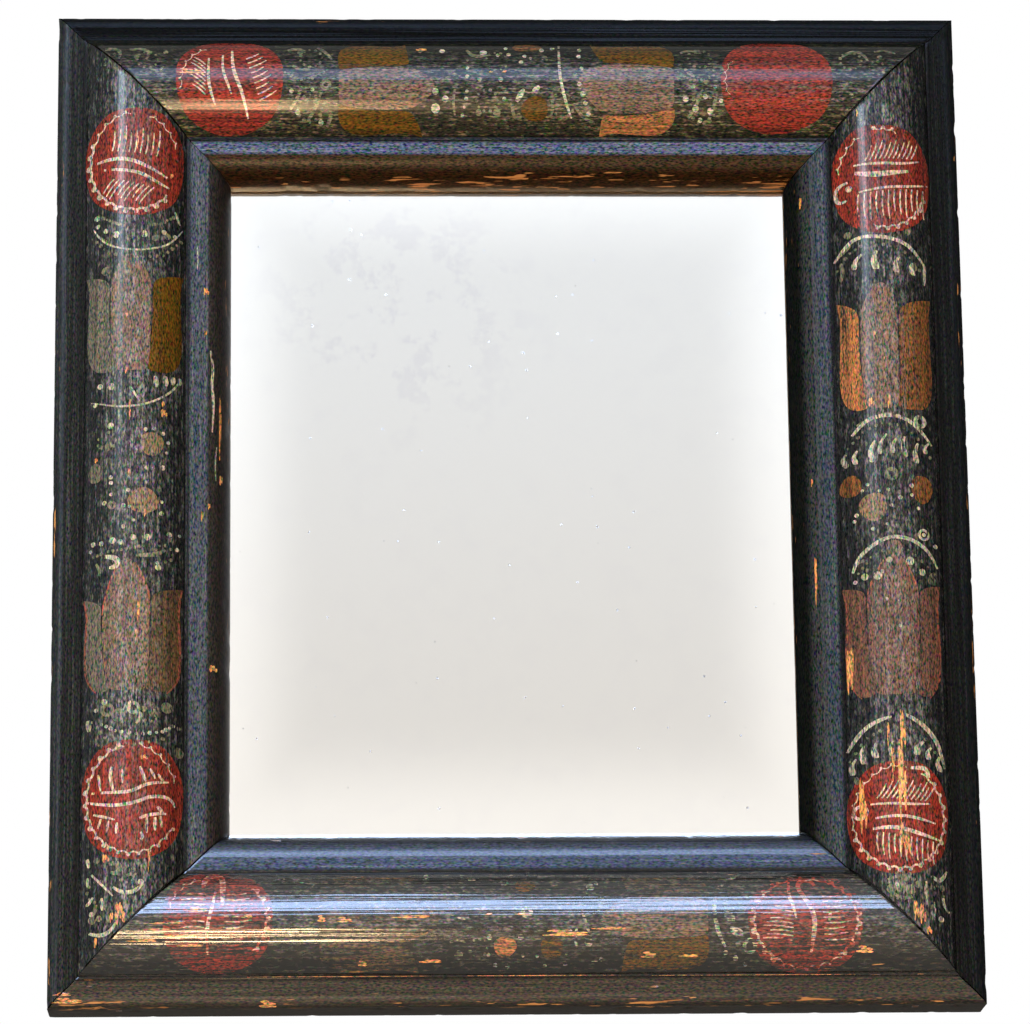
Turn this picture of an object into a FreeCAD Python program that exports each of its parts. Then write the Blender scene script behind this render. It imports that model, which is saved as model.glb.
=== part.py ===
import FreeCAD, Part
import os
from FreeCAD import Placement, Rotation, Vector

# Painted wall mirror in a wide mitred frame. All lengths are in millimetres.
# The frame stands upright and faces -Y, with its back in the plane y = 0 while it is being built.

# Outside of the frame
outer_width = 368.0
outer_height = 410.0

# Members of the moulding across its face, from the outer edge to the glass
band_width = 11.0
quirk_width = 1.0
torus_width = 41.0
inner_flat = 6.5
ovolo_radius = 9.5

# Heights of the moulding above its back
rabbet_depth = 7.5
lip_thickness = 5.0
inner_fall = 1.0
quirk_step = 1.3
torus_rise = 12.0
edge_radius = 4.0
rabbet_width = 8.0

# Glass in the rabbet
glass_clearance = 1.2
glass_thickness = 2.5
silvering_thickness = 0.2
block_length = 30.0
block_width = 5.5
block_from_corner = 52.0
block_set_back = 0.8

# Backboards over the rabbet
board_thickness = 6.0
board_overlap = 10.0
board_bevel = 2.5
board_seam = 0.6

# Cut nails: the head is a plain rectangle, the shank tapers on two sides
corner_nail_length = 42.0
corner_nail_head = 5.0
corner_nail_head_depth = 1.4
corner_nail_shank = 3.4
corner_nail_tip = 1.6
corner_nail_thickness = 2.4
board_nail_length = 18.0
board_nail_head = 3.8
board_nail_head_depth = 1.0
board_nail_shank = 2.4
board_nail_tip = 1.2
board_nail_thickness = 1.6
side_nail_from_corner = 18.0
side_nail_depth = 8.0
end_nail_from_corner = 28.0
end_nail_depth = 16.0
board_nail_from_edge = 5.5
board_nail_from_corner = 24.0

# Hanging ring and the forged eye that carries it
ring_wire = 2.8
ring_mean_radius = 9.5
ring_play = 0.35
ring_above_board = 1.5
eye_wall = 1.6
eye_width = 4.0
eye_chamfer = 0.6
eye_neck = 2.2
spike_length = 16.0
spike_root = 3.0
spike_tip = 1.2

# How far a cutting wedge runs past the wood
overshoot = 1.0

# Places that follow from the sizes above
rail_width = band_width + 2 * quirk_width + torus_width + inner_flat + ovolo_radius
lip_front = rabbet_depth + lip_thickness
flat_end_level = lip_front + ovolo_radius
face_level = flat_end_level + inner_fall
torus_base = face_level + quirk_step
crown_level = torus_base + torus_rise
rabbet_wall = rail_width - rabbet_width
half_width = outer_width / 2
half_height = outer_height / 2
silvering_back = rabbet_depth - glass_thickness - silvering_thickness
board_edge = rabbet_wall - board_overlap
board_half_width = half_width - board_edge
board_half_height = half_height - board_edge
eye_bore = ring_wire / 2 + ring_play
eye_outer = eye_bore + eye_wall
eye_stand = eye_outer + eye_neck
eye_height = board_half_height + ring_above_board + ring_wire / 2 + 2 * ring_mean_radius
hang_point = Vector(0, eye_stand, eye_height - ring_mean_radius)

side_axis = Vector(0, 1, 0)
side_turns = {"bottom": 0, "left": 90, "top": 180, "right": -90}
side_spans = {
    "bottom": (outer_width, half_height),
    "left": (outer_height, half_width),
    "top": (outer_width, half_height),
    "right": (outer_height, half_width),
}


def on_side(across, height, half_span, along=0.0):
    """Point of the bottom side: across from its outer edge, height above the frame's back."""
    return Vector(along, -height, across - half_span)


def turned(shape, side):
    """The same shape on another side of the frame."""
    shape.rotate(Vector(), side_axis, side_turns[side])
    return shape


def line(start, end):
    return Part.LineSegment(start, end).toShape()


def arc(start, middle, end):
    return Part.Arc(start, middle, end).toShape()


def moulding_face(half_span):
    """Section of the moulding: rounded band, quirk, torus, quirk, flat, ovolo, lip and rabbet."""
    slant = 1 - 0.5 ** 0.5
    torus_start = band_width + quirk_width
    torus_end = torus_start + torus_width
    flat_start = torus_end + quirk_width
    flat_end = flat_start + inner_flat

    def p(across, height):
        return on_side(across, height, half_span)

    edge_middle = p(edge_radius * slant, face_level - edge_radius * slant)
    ovolo_middle = p(rail_width - ovolo_radius * slant, flat_end_level - ovolo_radius * slant)
    edges = [
        line(p(0, 0), p(0, face_level - edge_radius)),
        arc(p(0, face_level - edge_radius), edge_middle, p(edge_radius, face_level)),
        line(p(edge_radius, face_level), p(band_width, face_level)),
        line(p(band_width, face_level), p(band_width, torus_base)),
        line(p(band_width, torus_base), p(torus_start, torus_base)),
        arc(
            p(torus_start, torus_base),
            p(torus_start + torus_width / 2, crown_level),
            p(torus_end, torus_base),
        ),
        line(p(torus_end, torus_base), p(flat_start, torus_base)),
        line(p(flat_start, torus_base), p(flat_start, face_level)),
        line(p(flat_start, face_level), p(flat_end, flat_end_level)),
        arc(p(flat_end, flat_end_level), ovolo_middle, p(rail_width, lip_front)),
        line(p(rail_width, lip_front), p(rail_width, rabbet_depth)),
        line(p(rail_width, rabbet_depth), p(rabbet_wall, rabbet_depth)),
        line(p(rabbet_wall, rabbet_depth), p(rabbet_wall, 0)),
        line(p(rabbet_wall, 0), p(0, 0)),
    ]
    return Part.Face(Part.Wire(edges))


def mitred_side(side):
    """One length of the moulding with both ends cut at 45 degrees."""
    length, half_span = side_spans[side]
    bar = moulding_face(half_span).extrude(Vector(length, 0, 0))
    bar.translate(Vector(-length / 2, 0, 0))
    reach = rail_width + overshoot
    for end in (-1, 1):
        past_end = end * (length / 2 + overshoot)
        corner = on_side(-overshoot, -overshoot, half_span, past_end)
        inner = on_side(reach, -overshoot, half_span, end * (length / 2 - reach))
        outer = on_side(reach, -overshoot, half_span, past_end)
        wedge = Part.Face(Part.makePolygon([corner, inner, outer, corner]))
        bar = bar.cut(wedge.extrude(Vector(0, -crown_level - 2 * overshoot, 0)))
    return turned(bar, side)


def cut_nail(outline, thickness, head_at, drive, width_along):
    """Nail with its head flush at head_at, driven along drive, its taper lying along width_along."""
    both_edges = outline + [(x, -y) for x, y in reversed(outline)]
    points = [Vector(x, y, -thickness / 2) for x, y in both_edges]
    body = Part.Face(Part.makePolygon(points + points[:1])).extrude(Vector(0, 0, thickness))
    turn = Rotation(drive, width_along, drive.cross(width_along), "XYZ")
    body.Placement = Placement(head_at, turn)
    return body


def corner_nail(head_at, drive):
    outline = [
        (0, corner_nail_head / 2),
        (corner_nail_head_depth, corner_nail_head / 2),
        (corner_nail_head_depth, corner_nail_shank / 2),
        (corner_nail_length, corner_nail_tip / 2),
    ]
    return cut_nail(outline, corner_nail_thickness, head_at, drive, side_axis)


def board_nail(head_at, width_along):
    outline = [
        (0, board_nail_head / 2),
        (board_nail_head_depth, board_nail_head / 2),
        (board_nail_head_depth, board_nail_shank / 2),
        (board_nail_length, board_nail_tip / 2),
    ]
    return cut_nail(outline, board_nail_thickness, head_at, -side_axis, width_along)


def corner_nails(x_sign, z_sign):
    """Two nails across one mitre, one through the stile's edge and one through the rail's edge."""
    side_head = Vector(
        x_sign * half_width,
        -side_nail_depth,
        z_sign * (half_height - side_nail_from_corner),
    )
    end_head = Vector(
        x_sign * (half_width - end_nail_from_corner),
        -end_nail_depth,
        z_sign * half_height,
    )
    return [
        corner_nail(side_head, Vector(-x_sign, 0, 0)),
        corner_nail(end_head, Vector(0, 0, -z_sign)),
    ]


def board_nails():
    """Nails along the outer edges of both boards, driven from behind into the frame."""
    nails = []
    across = board_half_width - board_nail_from_edge
    up = board_half_height - board_nail_from_edge
    end = board_half_height - board_nail_from_corner
    for sign in (-1, 1):
        for height in (-end, 0, end):
            place = Vector(sign * across, board_thickness, height)
            nails.append(board_nail(place, Vector(0, 0, 1)))
        for board in (-1, 1):
            place = Vector(board * board_half_width / 2, board_thickness, sign * up)
            nails.append(board_nail(place, Vector(1, 0, 0)))
    return nails


def backboard(x_sign):
    """One thin board with its outer back edges planed off."""
    width = board_half_width - board_seam / 2
    low_x = board_seam / 2 if x_sign > 0 else -board_half_width
    corner = Vector(low_x, 0, -board_half_height)
    board = Part.makeBox(width, board_thickness, 2 * board_half_height, corner)

    def is_bevelled(edge):
        middle = edge.CenterOfMass
        at_seam = abs(middle.x) < board_seam
        at_back = abs(middle.y - board_thickness) < board_bevel / 2
        return at_back and not at_seam

    return board.makeChamfer(board_bevel, [edge for edge in board.Edges if is_bevelled(edge)])


def glass_plate(front, thickness):
    """Flat plate that fills the rabbet apart from its clearance, with its front at a given height."""
    width = outer_width - 2 * (rabbet_wall + glass_clearance)
    height = outer_height - 2 * (rabbet_wall + glass_clearance)
    return Part.makeBox(width, thickness, height, Vector(-width / 2, -front, -height / 2))


def glass_blocks(side):
    """Two wedge-shaped blocks on one side, glued to the rabbet's wall behind the glass."""
    length, half_span = side_spans[side]
    blocks = []
    centre = length / 2 - rabbet_wall - block_from_corner
    for along in (-centre, centre):
        start = along - block_length / 2
        points = [
            on_side(rabbet_wall, silvering_back, half_span, start),
            on_side(rabbet_wall + block_width, silvering_back, half_span, start),
            on_side(rabbet_wall, block_set_back, half_span, start),
        ]
        wedge = Part.Face(Part.makePolygon(points + points[:1]))
        blocks.append(turned(wedge.extrude(Vector(block_length, 0, 0)), side))
    return Part.makeCompound(blocks)


def square_wire(y, size):
    half = size / 2
    corners = [(-half, -half), (half, -half), (half, half), (-half, half), (-half, -half)]
    return Part.makePolygon([Vector(x, y, eye_height + z) for x, z in corners])


def hanger_eye():
    """Forged eye on a tapered square spike, with its hole across the frame."""
    along = Vector(1, 0, 0)
    centre = Vector(-eye_width / 2, eye_stand, eye_height)
    eye = Part.makeCylinder(eye_outer, eye_width, centre, along)
    rims = [edge for edge in eye.Edges if isinstance(edge.Curve, Part.Circle)]
    eye = eye.makeChamfer(eye_chamfer, rims)
    root = square_wire(eye_stand - eye_bore - eye_wall / 2, spike_root)
    spike = Part.makeLoft([root, square_wire(-spike_length, spike_tip)], True, True)
    hole = Part.makeCylinder(eye_bore, eye_width, centre, along)
    return eye.fuse(spike).cut(hole).removeSplitter()


def hanger_ring():
    """Round wire ring that hangs from the middle of the eye's hole."""
    return Part.makeTorus(ring_mean_radius, ring_wire / 2, hang_point, side_axis)


def nodes():
    eye = hanger_eye()
    board_fixings = board_nails()
    corners = {
        "top_left": corner_nails(-1, 1),
        "top_right": corner_nails(1, 1),
        "bottom_left": corner_nails(-1, -1),
        "bottom_right": corner_nails(1, -1),
    }
    frame_holes = board_fixings + [nail for pair in corners.values() for nail in pair] + [eye]
    made = {
        "top_rail": mitred_side("top").cut(frame_holes),
        "bottom_rail": mitred_side("bottom").cut(frame_holes),
        "left_stile": mitred_side("left").cut(frame_holes),
        "right_stile": mitred_side("right").cut(frame_holes),
        "mirror_glass": glass_plate(rabbet_depth, glass_thickness),
        "silvering": glass_plate(rabbet_depth - glass_thickness, silvering_thickness),
        "backboard_left": backboard(-1).cut(board_fixings),
        "backboard_right": backboard(1).cut(board_fixings),
        "backboard_nails": Part.makeCompound(board_fixings),
        "hanger_eye": eye,
        "hanger_ring": hanger_ring(),
    }
    for side in side_turns:
        made["glass_blocks_" + side] = glass_blocks(side)
    for corner, pair in corners.items():
        made["corner_nails_" + corner] = Part.makeCompound(pair)
    return made


# Each piece is moved so that the origin is the middle of the hanging ring
os.makedirs("parts", exist_ok=True)
for node_name, piece in nodes().items():
    piece.translate(-hang_point)
    piece.exportStep("parts/" + node_name + ".step")
    sound = all(solid.isValid() for solid in piece.Solids)
    print(node_name, len(piece.Solids), "solids", round(piece.Volume, 1), "mm3", "valid" if sound else "NOT VALID")
print("rail width", rail_width, "crown", crown_level, "hang point", tuple(hang_point))
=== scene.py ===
import math

import bpy
from mathutils import Matrix, Vector


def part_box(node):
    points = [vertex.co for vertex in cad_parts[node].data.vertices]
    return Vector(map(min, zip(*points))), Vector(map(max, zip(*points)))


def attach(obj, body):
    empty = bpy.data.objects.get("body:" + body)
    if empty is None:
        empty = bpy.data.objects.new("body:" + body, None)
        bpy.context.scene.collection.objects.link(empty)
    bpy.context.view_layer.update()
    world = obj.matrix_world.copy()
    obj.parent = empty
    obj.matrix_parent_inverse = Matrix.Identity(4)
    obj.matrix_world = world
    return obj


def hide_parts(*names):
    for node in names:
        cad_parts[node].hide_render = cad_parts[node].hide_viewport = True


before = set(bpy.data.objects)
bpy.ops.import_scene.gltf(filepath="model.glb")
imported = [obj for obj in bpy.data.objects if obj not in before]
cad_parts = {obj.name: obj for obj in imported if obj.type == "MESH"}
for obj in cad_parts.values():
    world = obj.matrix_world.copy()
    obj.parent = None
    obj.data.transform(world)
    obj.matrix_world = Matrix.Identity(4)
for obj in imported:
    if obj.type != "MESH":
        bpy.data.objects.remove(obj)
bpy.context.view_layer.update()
mm = 0.001

railNames = ("top_rail", "bottom_rail", "left_stile", "right_stile")
railBoxes = [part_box(name) for name in railNames]
frameLow = Vector([min(box[0][axis] for box in railBoxes) for axis in range(3)])
frameHigh = Vector([max(box[1][axis] for box in railBoxes) for axis in range(3)])
frameMid = (frameLow + frameHigh) / 2
backY = frameHigh.y  # the rails' backs; the face of the frame looks to -Y
print("frame loaded:", len(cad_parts), "nodes")


def sides(top, bottom, left, right):  # one value for each length of moulding
    return dict(zip(railNames, (top, bottom, left, right)))


# outer edge, direction inwards with its sign, and grain direction of each length
railPlaces = sides(
    {"outer": frameHigh.z, "inward": Vector((0, 0, -1)), "sign": -1, "upright": 0.0},
    {"outer": frameLow.z, "inward": Vector((0, 0, 1)), "sign": 1, "upright": 0.0},
    {"outer": frameLow.x, "inward": Vector((1, 0, 0)), "sign": 1, "upright": 1.0},
    {"outer": frameHigh.x, "inward": Vector((-1, 0, 0)), "sign": -1, "upright": 1.0},
)


# small helpers for modelling

def leaveMesh():
    bpy.ops.object.mode_set(mode="OBJECT")


def deselectAll():
    if bpy.context.object and bpy.context.object.mode != "OBJECT":
        leaveMesh()
    bpy.ops.object.select_all(action="DESELECT")


def takeUp(piece):
    deselectAll()
    piece.select_set(True)
    bpy.context.view_layer.objects.active = piece


def settle(piece):
    takeUp(piece)
    bpy.ops.object.transform_apply(location=True, rotation=True, scale=True)


def applyModifier(piece, modifier):
    takeUp(piece)
    bpy.ops.object.modifier_apply(modifier=modifier.name)


def named(piece, name):
    piece.name = name
    piece.data.name = name
    return piece


def joinPieces(name, pieces):
    takeUp(pieces[0])
    for piece in pieces:
        piece.select_set(True)
    if len(pieces) > 1:
        bpy.ops.object.join()
    return named(bpy.context.object, name)


def keepPiece(piece, material, body="mirror_frame"):
    piece.data.materials.clear()
    piece.data.materials.append(material)
    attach(piece, body)
    return piece


def editMesh(kind, action="SELECT"):
    bpy.ops.object.mode_set(mode="EDIT")
    bpy.ops.mesh.select_mode(type=kind)
    bpy.ops.mesh.select_all(action=action)


def chooseParts(piece, kind, parts, wanted):  # opens the mesh with only the wanted parts selected
    editMesh(kind, "DESELECT")
    leaveMesh()
    for part in getattr(piece.data, parts):
        part.select = wanted(part)
    bpy.ops.object.mode_set(mode="EDIT")


def between(start, end, share):
    return (start[0] + (end[0] - start[0]) * share, start[1] + (end[1] - start[1]) * share)


# small helpers for materials

class Wire:  # the value that a socket gives; arithmetic with it adds maths nodes
    def __init__(self, socket):
        self.socket = socket

    def __add__(self, other):
        return maths("ADD", self, other)

    def __sub__(self, other):
        return maths("SUBTRACT", self, other)

    def __rsub__(self, other):
        return maths("SUBTRACT", other, self)

    def __mul__(self, other):
        return maths("MULTIPLY", self, other)

    def __truediv__(self, other):
        return maths("DIVIDE", self, other)

    def __abs__(self):
        return maths("ABSOLUTE", self)


def treeOf(*values):
    return next(value.socket.id_data for value in values if isinstance(value, Wire))


def plugAll(node, values):  # wires are linked, other values are set on the node's own sockets
    for key, value in values.items():
        socket = node.inputs[key]
        if isinstance(value, Wire):
            node.id_data.links.new(value.socket, socket)
        else:
            socket.default_value = (*value, 1.0) if socket.type == "RGBA" else value


def addNode(tree, kind, inputs=None, **settings):  # gives the node's outputs by number and by name
    node = tree.nodes.new(kind)
    for key, value in settings.items():
        setattr(node, key, value)
    plugAll(node, inputs or {})
    wires = {}
    for index, socket in enumerate(node.outputs):
        wires[index] = wires[socket.name] = Wire(socket)
    return wires


def maths(operation, first, second=0.0):
    return addNode(treeOf(first, second), "ShaderNodeMath", {0: first, 1: second}, operation=operation)[0]


def larger(first, second):
    return maths("MAXIMUM", first, second)


def vectorMaths(operation, *values):
    inputs = dict(enumerate(values))
    return addNode(treeOf(*values), "ShaderNodeVectorMath", inputs, operation=operation)


def softStep(value, low, high):
    sockets = {"Value": value, "From Min": low, "From Max": high}
    return addNode(treeOf(value), "ShaderNodeMapRange", sockets, interpolation_type="SMOOTHSTEP")[0]


def blendColours(factor, first, second):
    inputs = {0: factor, 6: first, 7: second}
    return addNode(treeOf(factor, first, second), "ShaderNodeMix", inputs, data_type="RGBA")[2]


def noiseOf(vector, scale=1.0, detail=2.0, roughness=0.5):
    sockets = {"Vector": vector, "Scale": scale, "Detail": detail, "Roughness": roughness}
    return addNode(treeOf(vector), "ShaderNodeTexNoise", sockets)


placeLabels = ("Along", "Across", "Depth")


def placesOf(wires):
    return {label: wires[label] for label in placeLabels}


# rates along, across and into the wood, then detail and roughness
grainLooks = {
    "streaks": ((14, 1100, 1100), 3.0, 0.6),
    "specks": ((240, 620, 620), 3.0, 0.65),
    "figure": ((3, 170, 170), 2.0, 0.5),
    "grooves": ((9, 900, 900), 1.0, 0.5),
    "flecks": ((70, 620, 620), 2.0, 0.55),
    "fleckPatches": ((16, 45, 45), 2.0, 0.5),
    "grains": ((650, 1650, 1650), 1.0, 0.5),
    "blotches": ((22, 420, 420), 3.0, 0.6),
    "lines": ((35, 1300, 1300), 2.0, 0.5),
    "grit": ((500, 900, 900), 2.0, 0.6),
    "wearPatches": ((25, 60, 60), 2.0, 0.5),
}


def grainNoise(places, look):
    rates, detail, roughness = grainLooks[look]
    parts = [value * rate for value, rate in zip(places.values(), rates)]
    point = addNode(treeOf(*parts), "ShaderNodeCombineXYZ", dict(enumerate(parts)))[0]
    return noiseOf(point, 1.0, detail, roughness)


socketKinds = {"Point": "Vector", "Colour": "Color", "Body": "Color", "Shade": "Color", "Under": "Color"}


def newGroup(name, inputs, outputs):
    group = bpy.data.node_groups.new(name, "ShaderNodeTree")
    for labels, way in ((inputs, "INPUT"), (outputs, "OUTPUT")):
        for label in labels:
            kind = "NodeSocket" + socketKinds.get(label, "Float")
            group.interface.new_socket(name=label, in_out=way, socket_type=kind)
    return group, addNode(group, "NodeGroupInput"), group.nodes.new("NodeGroupOutput")


def placeGroup(tree, group, inputs):
    return addNode(tree, "ShaderNodeGroup", inputs, node_tree=group)


def objectPoint(tree):
    return addNode(tree, "ShaderNodeTexCoord")["Object"]


def newMaterial(name, plain=None):
    material = bpy.data.materials.new(name)
    material.use_nodes = True
    shader = material.node_tree.nodes["Principled BSDF"]
    plugAll(shader, plain or {})
    return material, material.node_tree, shader


def addBump(shader, height, strength, distance):
    sockets = {"Height": height, "Strength": strength, "Distance": distance}
    plugAll(shader, {"Normal": addNode(treeOf(height), "ShaderNodeBump", sockets)[0]})


# effects that several finishes share

def makeGrainGroup():
    group, entry, leave = newGroup(
        "grain along a board", ("Point", "Upright"), (*placeLabels, "Streaks", "Figure", "Grooves", "Worn"))
    parts = addNode(group, "ShaderNodeSeparateXYZ", {0: entry["Point"]})
    x, y, z = (parts[axis] for axis in range(3))
    upright = entry["Upright"]
    flat = 1.0 - upright
    places = {"Along": x * flat + z * upright, "Across": z * flat + x * upright, "Depth": y}
    streaks = grainNoise(places, "streaks")[0]
    specks = grainNoise(places, "specks")[0]
    plugAll(leave, {
        **places, "Streaks": streaks,
        "Figure": grainNoise(places, "figure")[0],
        "Grooves": grainNoise(places, "grooves")[0],
        "Worn": addNode(group, "ShaderNodeMix", {0: 0.6, 2: streaks, 3: specks})[0]})
    return group


def makeFleckGroup():
    group, entry, leave = newGroup("flecks worn through", (*placeLabels, "Amount"), ("Bare",))
    places = placesOf(entry)
    fine = grainNoise(places, "flecks")[0]
    patchy = grainNoise(places, "fleckPatches")[0]
    plugAll(leave, {"Bare": softStep(fine + patchy * 0.35 + entry["Amount"], 1.0, 1.05)})
    return group


def makeGritGroup():
    group, entry, leave = newGroup(
        "grit in old paint", (*placeLabels, "Colour", "Amount"), ("Colour", "Grit"))
    grains = grainNoise(placesOf(entry), "grains")
    amount = entry["Amount"]
    motley = blendColours(0.5, grains[0], grains[1])
    gain = vectorMaths("MULTIPLY_ADD", motley, amount, 1.0 - amount * 0.5)[0]
    gain = vectorMaths("MAXIMUM", gain, (0.05, 0.05, 0.05))[0]
    plugAll(leave, {"Colour": vectorMaths("MULTIPLY", gain, entry["Colour"])[0], "Grit": grains[0]})
    return group


# the torus's crown is made pale by rubbed paint and a painted sheen; its flanks are darkened by painted shade
torusSheenAndShade = {
    "chalk": (0.228, 0.243, 0.248),
    "crownReach": (1 * mm, 17 * mm),
    "crownShare": sides(0.26, 0.25, 0.4, 0.32),
    "dirt": (0.010, 0.009, 0.009),
    "dirtReach": (13 * mm, 20 * mm),
    "dirtShare": 0.18,
}


def makeSheenAndShadeGroup():  # pale on the crown from rubbed paint and painted sheen; painted shade darkens the flanks towards the quirks
    group, entry, leave = newGroup(
        "patina across the torus", ("Across", "Middle", "Worn", "Colour", "Crown"), ("Colour",))
    away = abs(entry["Across"] - entry["Middle"])
    crown = (1.0 - softStep(away, *torusSheenAndShade["crownReach"])) * entry["Crown"]
    sheenOnCrown = crown * (softStep(entry["Worn"], 0.42, 0.66) * 1.7 + 0.2)
    colour = blendColours(sheenOnCrown, entry["Colour"], torusSheenAndShade["chalk"])
    # painted shade: darker towards the quirks on both sides of the torus
    dirt = softStep(away, *torusSheenAndShade["dirtReach"]) * torusSheenAndShade["dirtShare"]
    plugAll(leave, {"Colour": blendColours(dirt, colour, torusSheenAndShade["dirt"])})
    return group


def makeWearGroup():
    group, entry, leave = newGroup(
        "rubbed paint", (*placeLabels, "Streaks", "Body", "Shade", "Under", "Wear"), ("Colour",))
    places = placesOf(entry)
    blotch = grainNoise(places, "blotches")[0]
    mixed = (blotch + entry["Streaks"]) * 0.5
    colour = blendColours(softStep(mixed, 0.4, 0.62), entry["Body"], entry["Shade"])
    lines = grainNoise(places, "lines")[0]
    grit = grainNoise(places, "grit")[0]
    patchy = grainNoise(places, "wearPatches")[0]
    level = lines * 0.6 + grit * 0.4 + patchy * 0.4 + entry["Wear"]
    plugAll(leave, {"Colour": blendColours(softStep(level, 0.95, 1.1), colour, entry["Under"])})
    return group


grainGroup = makeGrainGroup()
fleckGroup = makeFleckGroup()
gritGroup = makeGritGroup()
sheenAndShadeGroup = makeSheenAndShadeGroup()
wearGroup = makeWearGroup()


# sizes of the moulding

moulding = {
    "bandWidth": 11 * mm,
    "bandLevel": 23 * mm,
    "edgeRound": 4 * mm,
    "quirkWidth": 1 * mm,
    "quirkRise": 1.3 * mm,
    "torusWidth": 41 * mm,
    "torusRise": 12 * mm,
    "innerFlat": 5 * mm,
    "innerFall": 0.3 * mm,
    "lipReach": 11.8 * mm,
    "lipStart": 3,  # degrees
    "rabbetDepth": 7.5 * mm,
    "rabbetPlace": 62 * mm,
    "jointGap": {"top": 0.03 * mm, "bottom": 0.08 * mm},
    "topMitre": 0.2,
    "cuts": (17, 16),
    "planeWave": 0.4 * mm,
    "planeGrain": 70 * mm,
    "planeFade": 6 * mm,
    "chipDepth": 0.9 * mm,
    "chipGrain": 7 * mm,
    "chipContrast": 4.0,
    "chipLevel": 1.85,
    "chipReach": 5 * mm,
    "chipFront": 14 * mm,  # chips start this far from the back
    "sightFrom": 64 * mm,
    "sightReach": 6 * mm,
    "mitreWear": 0.3 * mm,
    "mitreGrain": 20 * mm,
    "mitreReach": 0.9 * mm,
    "outerWear": sides(0.3, 1.0, 0.8, 0.8),
    "sightWear": sides(0.5, 0.4, 0.4, 0.15),
    "smoothAngle": 42,
    "varnishPast": 0.4 * mm,  # the varnish ends this far beside the torus
}

torusStart = moulding["bandWidth"] + moulding["quirkWidth"]
torusMiddle = torusStart + moulding["torusWidth"] / 2
torusEnd = torusStart + moulding["torusWidth"]
flatStart = torusEnd + moulding["quirkWidth"]
flatEnd = flatStart + moulding["innerFlat"]


# finishes

def boardGrain(tree, upright):
    return placeGroup(tree, grainGroup, {"Point": objectPoint(tree), "Upright": upright})


pineColours = {
    "fresh": (0.56, 0.27, 0.09),
    "deep": (0.30, 0.12, 0.035),
    "agedPale": (0.30, 0.19, 0.10),
    "agedDeep": (0.17, 0.095, 0.045),
    "blockPale": (0.45, 0.28, 0.13),
    "blockDeep": (0.27, 0.14, 0.055),
}

groundPaint = {
    "deep": (0.0042, 0.0052, 0.0054),
    "worn": (0.016, 0.0195, 0.021),
    "torusDeep": (0.008, 0.0095, 0.0105),
    "torusWorn": (0.086, 0.09, 0.088),
    # painted light on the torus's two flanks, for each side: lightened or darkened as the light falls
    "outerTint": sides((0.5, 0.5, 0.27), (0.7, 0.64, 0.5), (1.15, 1.2, 1.2), (0.86, 0.9, 0.92)),
    "innerTint": sides((2.1, 1.75, 0.95), (1.2, 1.08, 0.8), (1.15, 1.2, 1.2), (0.86, 0.9, 0.92)),
    "tintReach": 8 * mm,
    # painted reflection: the inner flat's blue is the window's reflection, tinted for each side
    "flatDeep": (0.066, 0.09, 0.15),
    "flatWorn": (0.15, 0.178, 0.24),
    "flatShare": sides(1.0, 0.5, 0.58, 0.44),
    "flatTint": sides((0.97, 1.0, 1.05), (0.86, 1.08, 1.36), (1.04, 1.0, 0.82), (1.0, 1.02, 0.88)),
    "flatReach": sides(0.0, 0.0, 2.4 * mm, 0.0),
    # painted light: each side's band is lighter or darker as the light falls
    "bandGain": sides(0.4, 1.0, 2.0, 0.7),
    "bandBrown": (0.095, 0.07, 0.04),
    "brownShare": sides(0.0, 0.62, 0.02, 0.0),
    # the lip's colours hold painted light: a blue painted reflection on the bottom rail, a warm brown on the
    # top rail that is partly bare wood and partly painted warm light, and painted shade where the lip turns
    # steeply
    "lip": sides((0.03, 0.02, 0.011), (0.027, 0.04, 0.07), (0.02, 0.019, 0.018), (0.026, 0.031, 0.034)),
    "lipDeep": sides((0.016, 0.007, 0.002), (0.006, 0.008, 0.012),
                     (0.014, 0.012, 0.011), (0.005, 0.006, 0.0055)),
    "lipDull": sides(0.4, 0.4, 0.4, 0.5),
    # painted shade in the quirks on both sides of the torus
    "grime": (0.004, 0.004, 0.004),
    "grimeShare": 0.6,
    "grimeReach": (0.5 * mm, 1.6 * mm),
    "gloss": sides(0.1, 0.68, 0.11, 0.1),
    "dullGloss": sides(0.035, 0.34, 0.11, 0.07),
    "mattLip": sides(False, False, False, True),
    "mattFrom": 61 * mm,
    "roughness": sides(0.17, 0.12, 0.19, 0.19),
    "bandRoughness": 0.1,
    "thinRougher": 0.09,
    "grooveDepth": sides(0.14 * mm, 0.42 * mm, 0.08 * mm, 0.08 * mm),
    "flatGroove": 0.08 * mm,
    "grit": 6.0,
    "paintGrit": 5.2,
    "flecks": sides(0.02, 0.06, 0.0, 0.01),
    "rubbed": sides(0.02, 0.15, 0.0, 0.02),
    "arrisGain": sides(0.06, 0.15, 0.15, 0.15),
    "arrisReach": (1 * mm, 6 * mm),
    "arrisHeight": (15 * mm, 19 * mm),
    "sightGain": sides(0.24, 0.08, 0.14, 0.1),
    "sightReach": (64 * mm, 69 * mm),
}


def groundOf(side):  # the values that all share and those of this side
    return {key: value[side] if isinstance(value, dict) else value for key, value in groundPaint.items()}


def tinted(colour, tint):
    return [part * gain for part, gain in zip(colour, tint)]


def railInset(grain, side):  # how far in from the outer edge
    return (grain["Across"] - railPlaces[side]["outer"]) * railPlaces[side]["sign"]


def quirkMask(inset, middle):
    return 1.0 - softStep(abs(inset - middle), *groundPaint["grimeReach"])


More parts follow.
